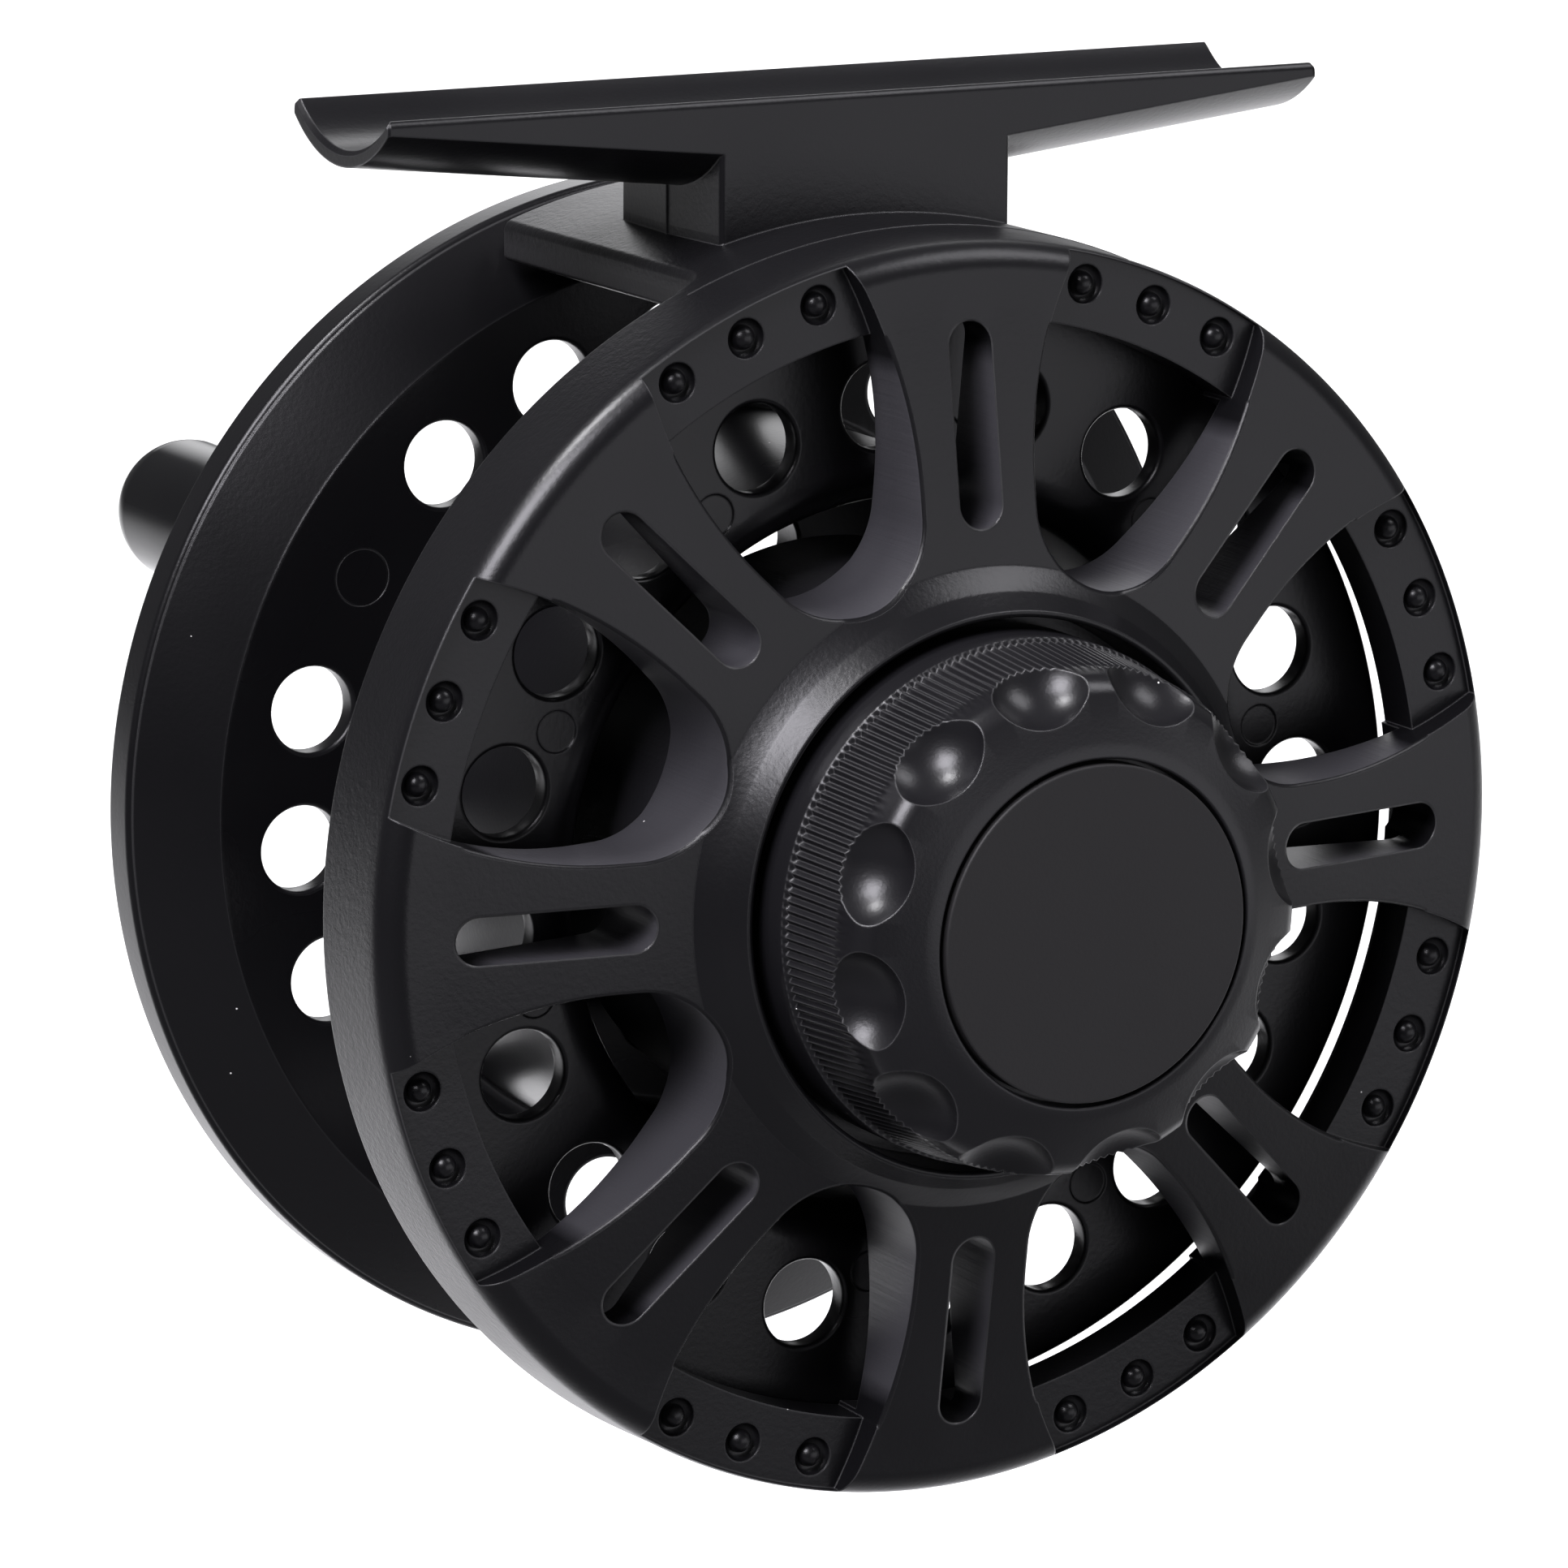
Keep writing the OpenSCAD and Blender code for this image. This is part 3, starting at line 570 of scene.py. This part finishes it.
def frame_profile():
    """Half section: bore, knob seat, collar, spoke face, rim, skirt, wall and drag housing."""
    return (
        [(4.5, -2.0), (4.5, 2.0)]
        + [(18.6, 2.0), (18.6, 6.9)]
        + arc(18.9, 6.9, 0.3, 180, 60, 8)
        + [(COLLAR_R - 0.06, COLLAR_H + 0.1), (COLLAR_R + 0.02, COLLAR_H)]
        + [(RISE_HUB_R, RISE_HUB), (RISE_RIM_R, RISE_RIM)]
        + arc(RIM_R - 2.1, RISE_RIM - 2.3, 2.1, 84, 8, 12)
        + [(RIM_R, -0.9), (RIM_BACK_R, -6.35)]
        + arc(RIM_BACK_R - 0.45, -6.35, 0.45, 0, -90, 6)
        + [(39.7, -6.8), (39.45, -6.65), (39.4, -6.4), (39.4, -3.4), (37.0, -3.4), (37.0, -1.2)]
        + [(22.0, -3.4), (20.0, -4.4)]
        + [(20.0, -17.6), (19.6, -18.0), (17.4, -18.0), (17.2, -17.8), (17.2, -14.7)]
        + [(18.0, -14.7), (18.0, -13.7), (17.2, -13.7), (17.2, -11.6), (16.4, -11.6), (16.4, -2.0)]
    )


def bridge_ring(half_w, r_out, r_in, h, corner=0.5, steps=6):
    """Cross-section of the bridge: a curved bar with rounded corners."""
    flat = 24
    pts = []
    pts += arc(half_w - corner, r_out - corner, corner, 0, 90, steps)
    pts += [(half_w - corner - (2 * half_w - 2 * corner) * i / flat, r_out) for i in range(1, flat)]
    pts += arc(-half_w + corner, r_out - corner, corner, 90, 180, steps)
    pts += arc(-half_w + corner, r_in + corner, corner, 180, 270, steps)
    pts += [(-half_w + corner + (2 * half_w - 2 * corner) * i / flat, r_in) for i in range(1, flat)]
    pts += arc(half_w - corner, r_in + corner, corner, 270, 360, steps)
    return [(u, math.sqrt(v * v - u * u), h) for u, v in pts]


def bridge():
    """Curved bar over the spool, with a rounded far end and a fillet into the rim."""
    half_w, fillet, start, lip = 14.9, 2.2, -36.0, 0.5
    inner = 40.2
    rings = []
    for i in range(4):
        a = math.radians(90 * i / 4)
        inset = lip * (1 - math.sin(a))
        h = start + lip * (1 - math.cos(a))
        rings.append(bridge_ring(half_w - inset, RIM_BACK_R - inset, inner + inset, h))
    rings.append(bridge_ring(half_w, RIM_BACK_R, inner, start + lip))
    rings.append(bridge_ring(half_w, RIM_BACK_R, inner, RIM_BACK - fillet))
    for i in range(1, 9):
        a = math.radians(90 * i / 8)
        w = half_w + fillet * (1 - math.cos(a))
        h = RIM_BACK - fillet + fillet * math.sin(a)
        rings.append(bridge_ring(w, RIM_BACK_R, inner, h))
    rings.append(bridge_ring(half_w + fillet, RIM_BACK_R, inner, -5.4))
    return loft("bridge", rings)


def foot():
    """Foot with its saddle along the rod, rounded lips and an underside that thins to the tips."""
    tip, root, half, lip = FOOT_LEN / 2, STEM_W / 2, FOOT_W / 2, 0.6
    low_tip, low_root, belly_r = 47.3, 44.7, 10.4
    blank = (
        arc(half - lip, FOOT_TOP - lip, lip, 0, 90, 6)
        + arc(lip - half, FOOT_TOP - lip, lip, 90, 180, 6)
        + [(-half, FOOT_TOP - 11), (half, FOOT_TOP - 11)]
    )
    tilt = math.atan((low_tip - low_root) / (tip - root))
    halves = []
    for side in (1, -1):
        part = loft("foot", [
            [(side * x, y, FOOT_H + z) for z, y in blank] for x in (-0.5, tip - 0.25)])
        end = loft("foot_end", [
            [(side * x, y - 0.15 * (x > tip - 0.1), FOOT_H + z * (1 - 0.012 * (x > tip - 0.1)))
             for z, y in blank] for x in (tip - 0.3, tip)])
        join(part, end)
        belly = lathe("belly", [(0, -FOOT_LEN), (belly_r, -FOOT_LEN), (belly_r, 5), (0, 5)], 240)
        belly.data.transform(
            Matrix.Translation((side * tip, low_tip + belly_r, FOOT_H))
            @ Matrix.Rotation(side * tilt, 4, "Z")
            @ Matrix.Rotation(side * math.radians(90), 4, "Y"))
        boolean(part, belly, "INTERSECT")
        halves.append(part)
    join(halves[0], halves[1])
    return halves[0]


def saddle_cutter():
    """Cylinder that cuts the rod's seat, flared at both tips of the foot."""
    saddle = lathe(
        "saddle",
        [(0, -FOOT_LEN), (SADDLE_R + 1, -FOOT_LEN), (SADDLE_R + 0.35, -FOOT_LEN / 2)]
        + [(SADDLE_R, 0.35 - FOOT_LEN / 2), (SADDLE_R, FOOT_LEN / 2 - 0.35)]
        + [(SADDLE_R + 0.35, FOOT_LEN / 2), (SADDLE_R + 1, FOOT_LEN), (0, FOOT_LEN)], 360)
    saddle.data.transform(
        Matrix.Translation((0, FOOT_TOP - SADDLE_DEPTH + SADDLE_R, FOOT_H))
        @ Matrix.Rotation(math.radians(90), 4, "Y"))
    return saddle


def stem():
    """Stem with a parting line half way along its sides and slightly rounded corners."""
    half_x, half_z, corner, draft, flash = STEM_W / 2, FOOT_W / 2, 0.4, 0.22, 0.14
    face = half_x - draft
    outline = (
        arc(face - corner, half_z - corner, corner, 0, 90, 6)
        + arc(corner - face, half_z - corner, corner, 90, 180, 6)
        + [(-half_x, flash), (-half_x - flash, 0.0), (-half_x, -flash)]
        + arc(corner - face, corner - half_z, corner, 180, 270, 6)
        + arc(face - corner, corner - half_z, corner, 270, 360, 6)
        + [(half_x, -flash), (half_x + flash, 0.0), (half_x, flash)]
    )
    low, high = RIM_BACK_R - 2.0, 48.3
    return loft("stem", [[(x, y, FOOT_H + z) for x, z in outline] for y in (low, high)])


def dimple_cutter(phase):
    """A dish with rounded lip, on one ledge."""
    profile = (
        [(0.0, 0.6), (1.40, 0.6), (1.38, 0.02)]
        + arc(1.38, -0.07, 0.07, 80, 170, 3)
        + arc(0.76, 0.0, 0.62, -12, -90, 8)
        + [(0.0, -0.62)]
    )
    obj = lathe("dimple", profile, 40)
    obj.data.transform(Matrix.Translation((0, DIMPLE_RING_R, 0)))
    return turned(obj, phase)


def frame_casting():
    """The whole casting: turned blank, bridge, stem and foot, then everything cut into it."""
    obj = lathe("frame_casting", frame_profile(), 720 // FINE)
    join(obj, bridge(), stem(), foot())
    cut(obj, saddle_cutter())
    pitch = 360 / SPOKES
    steps = 12
    through = soft_cutter(
        "window", window_outline(LEDGE_IN_R, steps), -10.0, 0.3, face_height)
    cut(obj, copies(through, SPOKES, pitch / 2))
    pocket = loft("pocket", [
        [(x, y, z) for x, y in window_outline(POCKET_R, steps)] for z in (0.0, 12.0)])
    cut(obj, copies(pocket, SPOKES, pitch / 2))
    slots = soft_cutter("slot", slot_outline(20), -10.0, 0.16, face_height)
    cut(obj, copies(slots, SPOKES))
    for step in DIMPLE_STEPS:
        cut(obj, copies(dimple_cutter(step), SPOKES, pitch / 2))
    pins = lathe("pin_hole", [(0, -3), (1.26, -3), (1.26, 3), (0, 3)], 32)
    pins.data.transform(Matrix.Translation((0, 10.0, 0)))
    cut(obj, copies(pins, 3))
    return place(obj, "frame_assembly", "black_coat", COAT, "frame", sharp=17)


def ledge_domes():
    """The small balls that stand in the dimples."""
    profile = [(0.0, -0.8)] + arc(0, -0.62, 0.84, -10, 90, 12)[:-1] + [(0.0, 0.22)]
    dome = lathe("dome", profile, 32)
    dome.data.transform(Matrix.Translation((0, DIMPLE_RING_R, 0)))
    bm = bmesh.new()
    for window in range(SPOKES):
        for step in DIMPLE_STEPS:
            part = dome.data.copy()
            turn = -math.radians((window + 0.5) * 360 / SPOKES + step)
            part.transform(Matrix.Rotation(turn, 4, "Z"))
            bm.from_mesh(part)
            bpy.data.meshes.remove(part)
    discard(dome)
    obj = make_object("ledge_domes", bm)
    return place(obj, "frame_assembly", "black_coat", COAT)


# ------------------------------------------------------------------ spool


# Front and back planes of both flanges
NEAR_FLANGE, FAR_FLANGE = (-5.6, -7.4), (-34.9, -36.7)
PORT_R, PORT_RING_R = 2.9, 16.8
MARK_RING_R = 28.6
HANDLE_TURN = HOLE_PHASE + HANDLE_HOLE * 360 / HOLES


def spool_profile():
    """Half section: near flange, arbor, far flange, palming rim, button seat, hub and web."""
    near, back, far, far_b = NEAR_FLANGE + FAR_FLANGE
    return (
        arc(38.3 - 0.7, near - 0.7, 0.7, 90, 0, 5)
        + [(38.3, back + 0.4)] + arc(37.9, back + 0.4, 0.4, 0, -90, 3)
        + arc(26.3 + 0.9, back - 0.9, 0.9, 90, 180, 5)
        + arc(26.3 + 0.9, far + 0.9, 0.9, 180, 270, 5)
        + [(36.9, far)] + arc(36.9, far - 0.3, 0.3, 90, 30, 2)
        + [(39.4, -36.25), (42.2, -38.0)]
        + arc(42.6 - 0.45, -38.55, 0.45, 80, 0, 4)
        + arc(42.6 - 0.6, PALM_BACK + 0.6, 0.6, 0, -90, 5)
        + arc(40.9, PALM_BACK + 0.35, 0.35, -90, -170, 3)
        + [(40.1, -39.2), (38.8, -38.0)]
        + [(37.0, far_b - 0.2), (36.0, far_b)]
        + [(11.6, far_b)] + arc(11.6, far_b - 0.6, 0.6, 90, 180, 3)
        + [(11.0, -39.8), (10.6, -40.2), (10.0, -40.2), (10.0, -39.62), (10.45, -39.62)]
        + [(10.45, -39.08), (10.0, -39.08), (10.0, far_b), (3.06, far_b), (3.06, -35.4)]
        + [(4.6, -35.4), (4.6, -35.0), (7.02, -35.0), (7.02, -31.0), (5.6, -31.0), (5.6, -27.9)]
        + [(7.5, -27.9), (7.5, -15.5), (8.4, -15.5), (8.4, -17.25), (9.3, -17.25), (9.5, -17.45)]
        + [(9.5, -32.2)] + arc(10.7, -32.2, 1.2, 180, 270, 4)
        + [(22.8, -33.4)] + arc(22.8, -32.0, 1.4, 270, 360, 4)
        + arc(24.2 + 3.0, near - 3.0, 3.0, 180, 90, 10)
    )


def flange_hole(z_front, z_back, radius, fillet, n=4):
    """Cutter for a hole through a flange, flared on both faces."""
    prof = [(0.0, z_back - 2)]
    prof += [(radius + fillet * 1.05, z_back - 2)]
    for i in range(n + 1):
        a = math.radians(82 * (1 - i / n))
        prof.append((radius + fillet * (1 - math.cos(a)), z_back + fillet * (1 - math.sin(a))))
    for i in range(n + 1):
        a = math.radians(82 * i / n)
        prof.append((radius + fillet * (1 - math.cos(a)), z_front - fillet * (1 - math.sin(a))))
    prof += [(radius + fillet * 1.05, z_front + 2), (0.0, z_front + 2)]
    obj = lathe("hole", prof, 64)
    return obj


def spool_casting():
    """Turned spool with holes in both flanges, ports in the web and the handle's boss."""
    obj = lathe("spool_casting", spool_profile(), 600 // FINE)
    boss = lathe("boss", [(0.0, -38.5), (4.7, -38.5), (5.0, -38.3), (5.6, -36.5), (0.0, -36.5)], 64)
    boss.data.transform(Matrix.Translation((0, HOLE_RING_R, 0)))
    join(obj, turned(boss, HANDLE_TURN))
    near = flange_hole(*NEAR_FLANGE, HOLE_R, 0.35)
    near.data.transform(Matrix.Translation((0, HOLE_RING_R, 0)))
    cut(obj, copies(near, HOLES, HOLE_PHASE))
    far = flange_hole(*FAR_FLANGE, HOLE_R, 0.3)
    far.data.transform(Matrix.Translation((0, HOLE_RING_R, 0)))
    cut(obj, copies(far, HOLES, HOLE_PHASE, skip=(HANDLE_HOLE,)))
    port = flange_hole(-33.4, FAR_FLANGE[1], PORT_R, 0.3)
    port.data.transform(Matrix.Translation((0, PORT_RING_R, 0)))
    cut(obj, copies(port, HOLES // 2, HOLE_PHASE))
    mark = lathe("mark", [(0.0, -5.72), (1.35, -5.72), (1.5, -5.58), (1.5, -5.0), (0.0, -5.0)], 48)
    mark.data.transform(Matrix.Translation((0, MARK_RING_R, 0)))
    cut(obj, copies(mark, HOLES // 2, HOLE_PHASE - 9))
    post = lathe("post_hole", [(0.0, -39), (2.0, -39), (2.0, -34), (0.0, -34)], 48)
    post.data.transform(Matrix.Translation((0, HOLE_RING_R, 0)))
    cut(obj, turned(post, HANDLE_TURN))
    return place(obj, "spool", "black_coat", SPOOL_COAT, "spool")


# ------------------------------------------------------------------ drag knob

KNURL_TEETH = 180
KNURL_LOW, KNURL_HIGH = 9.3, 15.0
KNURL_DEPTH = 0.28


def knurl(r, h, angle):
    """Straight knurl on the knob's side, fading out at its shoulder."""
    if r < 16 or h < KNURL_LOW - 0.01 or h > KNURL_HIGH + 0.4:
        return 0.0
    phase = (angle * KNURL_TEETH / (2 * math.pi)) % 1.0
    tooth = abs(2 * phase - 1)
    fade = min(1.0, max(0.0, (KNURL_HIGH + 0.4 - h) / 1.2))
    return -KNURL_DEPTH * fade * tooth


def knob_profile():
    """Half section: bore, cap recess, shoulder, knurled side, skirt and hollow underside."""
    return (
        [(3.06, 3.6), (3.06, 13.0), (5.4, 13.0), (5.4, 17.4), (CAP_R + 0.3, 17.4)]
        + [(CAP_R + 0.3, 18.7)]
        + arc(CAP_R + 0.48, 18.72, 0.18, 180, 80, 4)
        + [(12.6, 18.62), (13.6, 18.25)]
        + arc(14.6, 15.85, 2.0, 66, 8, 9)
        + [(16.75, 15.4), (16.87, 15.0), (16.95, 14.6), (17.15, 12.6), (17.35, 10.6)]
        + [(17.47, KNURL_LOW)]
        + [(KNOB_R - 0.06, 9.12), (KNOB_R, 8.95), (KNOB_R, 3.5), (KNOB_R - 0.3, 3.2), (14.6, 3.2)]
        + [(14.6, 12.4), (7.0, 12.4), (7.0, 3.6)]
    )


def knob():
    """Knurled knob with a ring of thumb scallops."""
    teeth_points = 8
    obj = lathe("drag_knob_turned", knob_profile(), KNURL_TEETH * teeth_points, knurl)
    bm = bmesh.new()
    bmesh.ops.create_uvsphere(bm, u_segments=64, v_segments=48, radius=4.2,
                              matrix=Matrix.Translation((0, KNOB_R + 0.4, 18.2)))
    scallop = make_object("scallop", bm)
    cut(obj, copies(scallop, 12, 19))
    return place(obj, "drag_knob", "black_anodised", KNOB_COAT, "drag_knob", sharp=35)


def cap():
    """Disc over the knob's screw."""
    profile = [(0.0, 17.4), (CAP_R, 17.4), (CAP_R, 18.98)] + arc(
        CAP_R - 0.14, 18.98, 0.14, 0, 80, 3) + [(0.0, 19.14)]
    obj = lathe("knob_disc", profile, 256)
    return place(obj, "drag_knob", "cap_plastic", CAP_COAT, "knob_cap")


# ------------------------------------------------------------------ handle and button


def handle_axis():
    """Moves a shape from the spindle to the handle's post."""
    a = math.radians(HANDLE_TURN)
    return Matrix.Translation((HOLE_RING_R * math.sin(a), HOLE_RING_R * math.cos(a), 0))


def handle():
    """Waisted winding handle with a ball end, hollow round its post."""
    ball_r = 5.1
    ball = ball_r - 68.6
    profile = (
        [(1.86, -39.3), (3.8, -39.3)] + arc(4.1, -39.7, 0.4, 90, 0, 3)
        + [(4.5, -39.9), (4.5, -40.6)] + arc(4.25, -41.0, 0.25, 30, -60, 3)
        + [(4.15, -41.8), (4.0, -44.3), (4.05, -47), (4.2, -49.3), (4.45, -52.5), (4.7, -55.3)]
        + [(4.9, -57.8), (5.02, -60.2)]
        + arc(0, ball, ball_r, -2, -88, 22)
        + [(0.0, ball - ball_r), (0.0, -60.6), (1.86, -60.6), (1.86, -42.75), (2.55, -42.75)]
        + [(2.55, -41.85), (1.86, -41.85)]
    )
    obj = lathe("handle_grip", profile, 128)
    obj.data.transform(handle_axis())
    return place(obj, "handle", "handle_plastic", GLOSS, "handle_knob")


def button():
    """Fluted release button with a dished face."""
    profile = (
        [(0.0, -41.8), (5.6, -41.8), (5.6, -38.2), (9.6, -38.2), (9.85, -38.4), (9.85, -39.03)]
        + [(9.2, -39.03), (9.2, -42.2)]
        + arc(8.4, -42.3, 0.8, 0, -90, 6)
        + [(7.4, -43.1)] + arc(7.2, -42.6, 0.5, -80, -110, 2)
        + [(6.4, -42.78), (3.0, -42.72), (0.0, -42.7)]
    )
    obj = lathe("release_button", profile, 360)
    flute = lathe("flute", [(0.0, -45), (0.8, -45), (0.8, -40.4), (0.0, -40.0)], 32)
    flute.data.transform(Matrix.Translation((0, 9.75, 0)))
    cut(obj, copies(flute, 20))
    return place(obj, "release_cap", "black_anodised", KNOB_COAT, "release_cap")


# ------------------------------------------------------------------ other parts


# The rivet end of the handle's post is coated together with the spool
COATED_OVER = ("handle_post",)


def dress_cad_nodes():
    """Every CAD node gets the finish of its slot."""
    looks = {s["node"]: s["material_slot"] for s in frame["record"]["subparts"]}
    for name, obj in frame["nodes"].items():
        material = SPOOL_COAT if name in COATED_OVER else SLOT_LOOKS[looks[name]]
        obj.data.materials.clear()
        obj.data.materials.append(material)


# ------------------------------------------------------------------ stage

# The camera looks along this azimuth, and lies at ROTATION (a rotation vector) and SHIFT (in
# units of UNIT), seen from the ledge plane over the spindle
CAMERA_AZIMUTH = math.radians(30)
UNIT = 40.2 * MM
ROTATION = (1.7479, -0.4462, 0.3638)
SHIFT = (0.271, 0.150, 12.0568)
LENS, SENSOR = 167.4, 36.0
BACK = Vector((math.sin(CAMERA_AZIMUTH), math.cos(CAMERA_AZIMUTH), 0))
# The reel hangs this far above the table
FLOOR_Z = CAD_BOX[0].z - 0.12
# The table's colour runs from painted shade in front of the reel to white behind it
TABLE_PAINTED_SHADE, TABLE_WHITE = (0.12, 0.12, 0.125), (0.93, 0.93, 0.935)
LAMP_HEIGHT = 0.42
# Name, offset from the reel's centre in metres, size in metres, power in watts, colour
SOFT_LIGHTS = (
    ("key_softbox", (-0.47, -0.27, 0.48), (0.34, 0.34), 7.8, (0.95, 0.93, 1.0)),
    ("overhead_softbox", (-0.30, 0.02, 0.58), (0.14, 0.14), 3.0, (0.98, 0.97, 1.0)),
    ("fill_softbox", (0.36, -0.24, 0.55), (0.30, 0.30), 1.6, (0.96, 0.95, 1.0)),
    ("front_card", (0.24, -0.46, -0.01), (0.60, 0.31), 0.75, (0.95, 0.94, 1.0)),
)
STUDIO_BACK = (0.45, 0.80, 0.40)
ROOM_DIM, ROOM_PALE, ROOM_WHITE = 0.12, 0.13, 2.0


def camera_pose():
    """Camera matrix in the row frame from the fitted rotation and shift."""
    turn = Vector(ROTATION)
    world_to_camera = Matrix.Rotation(turn.length, 3, turn.normalized())
    camera_to_world = world_to_camera.transposed()
    eye = -(camera_to_world @ Vector(SHIFT))
    origin = Vector((0.0, LEDGE_Y, AXIS_Z))
    rotation = (camera_to_world @ Matrix.Diagonal((1, -1, -1))).to_4x4()
    return Matrix.Translation(eye * UNIT + origin) @ rotation


def camera():
    """Camera at the photograph's angle: a long lens, seen from the lower left of the knob."""
    data = bpy.data.cameras.new("camera")
    data.sensor_width = SENSOR
    data.lens = LENS
    obj = bpy.data.objects.new("camera", data)
    obj.matrix_world = camera_pose()
    bpy.context.scene.collection.objects.link(obj)
    bpy.context.scene.camera = obj


def stage():
    """Pale table below and behind the reel, which hangs by its foot; painted shade on it in front
    of the reel.
    """
    bm = bmesh.new()
    bmesh.ops.create_grid(bm, x_segments=1, y_segments=1, size=8.0,
                          matrix=Matrix.Translation((0, 0, FLOOR_Z)))
    floor = make_object("floor", bm)
    mat, nt, bsdf, vec = node_tree("pale_floor")
    away = vector_node(nt, "DOT_PRODUCT", vec, tuple(BACK))
    lit = ramp(nt, away, -0.05, 0.15, 0.0, 1.0)
    # Painted shade: the table is dark on the camera's side of the reel
    nt.links.new(mix_color(nt, lit, TABLE_PAINTED_SHADE, TABLE_WHITE), bsdf.inputs["Base Color"])
    bsdf.inputs["Roughness"].default_value = 0.9
    bsdf.inputs["Specular IOR Level"].default_value = 0.1
    floor.data.materials.append(mat)


def area_light(name, place_at, aim, size, power, color, turn=0.0):
    """Rectangular softbox aimed at a point; turn rolls it about its own axis, in radians."""
    data = bpy.data.lights.new(name, "AREA")
    data.shape = "RECTANGLE"
    data.size, data.size_y = size
    data.energy = power
    data.color = color
    obj = bpy.data.objects.new(name, data)
    obj.location = place_at
    aimed = (Vector(aim) - Vector(place_at)).to_track_quat("-Z", "Y")
    obj.rotation_euler = (aimed @ Quaternion((0, 0, 1), -turn)).to_euler()
    bpy.context.scene.collection.objects.link(obj)
    return obj


def lights():
    """Softboxes round the reel, and a long lamp that whitens the table behind it."""
    centre = (CAD_BOX[0] + CAD_BOX[1]) / 2
    for name, offset, size, power, color in SOFT_LIGHTS:
        area_light(name, centre + Vector(offset), centre, size, power, color)
    table = BACK * 2.2
    lamp = area_light("table_light", table + Vector((0.0, 0.0, LAMP_HEIGHT)), table, (1.2, 4.2),
                      34.0, (1, 1, 1), CAMERA_AZIMUTH)
    lamp.visible_glossy = False


def world():
    """Even dim room with one bright window high behind the reel."""
    w = bpy.data.worlds.new("studio")
    w.use_nodes = True
    nt = w.node_tree
    coords = nt.nodes.new("ShaderNodeTexCoord")
    toward = vector_node(nt, "DOT_PRODUCT", coords.outputs["Generated"], STUDIO_BACK)
    room = ramp(nt, toward, -0.3, 0.6, ROOM_DIM, ROOM_PALE)
    level = math_node(nt, "ADD", room, ramp(nt, toward, 0.93, 0.99, 0.0, ROOM_WHITE))
    nt.links.new(level, nt.nodes["Background"].inputs["Strength"])
    nt.nodes["Background"].inputs["Color"].default_value = (0.98, 0.98, 1.0, 1)
    bpy.context.scene.world = w
    bpy.context.scene.view_settings.view_transform = "Standard"


camera()
world()
lights()
stage()
dress_cad_nodes()
frame_casting()
ledge_domes()
spool_casting()
knob()
cap()
handle()
button()
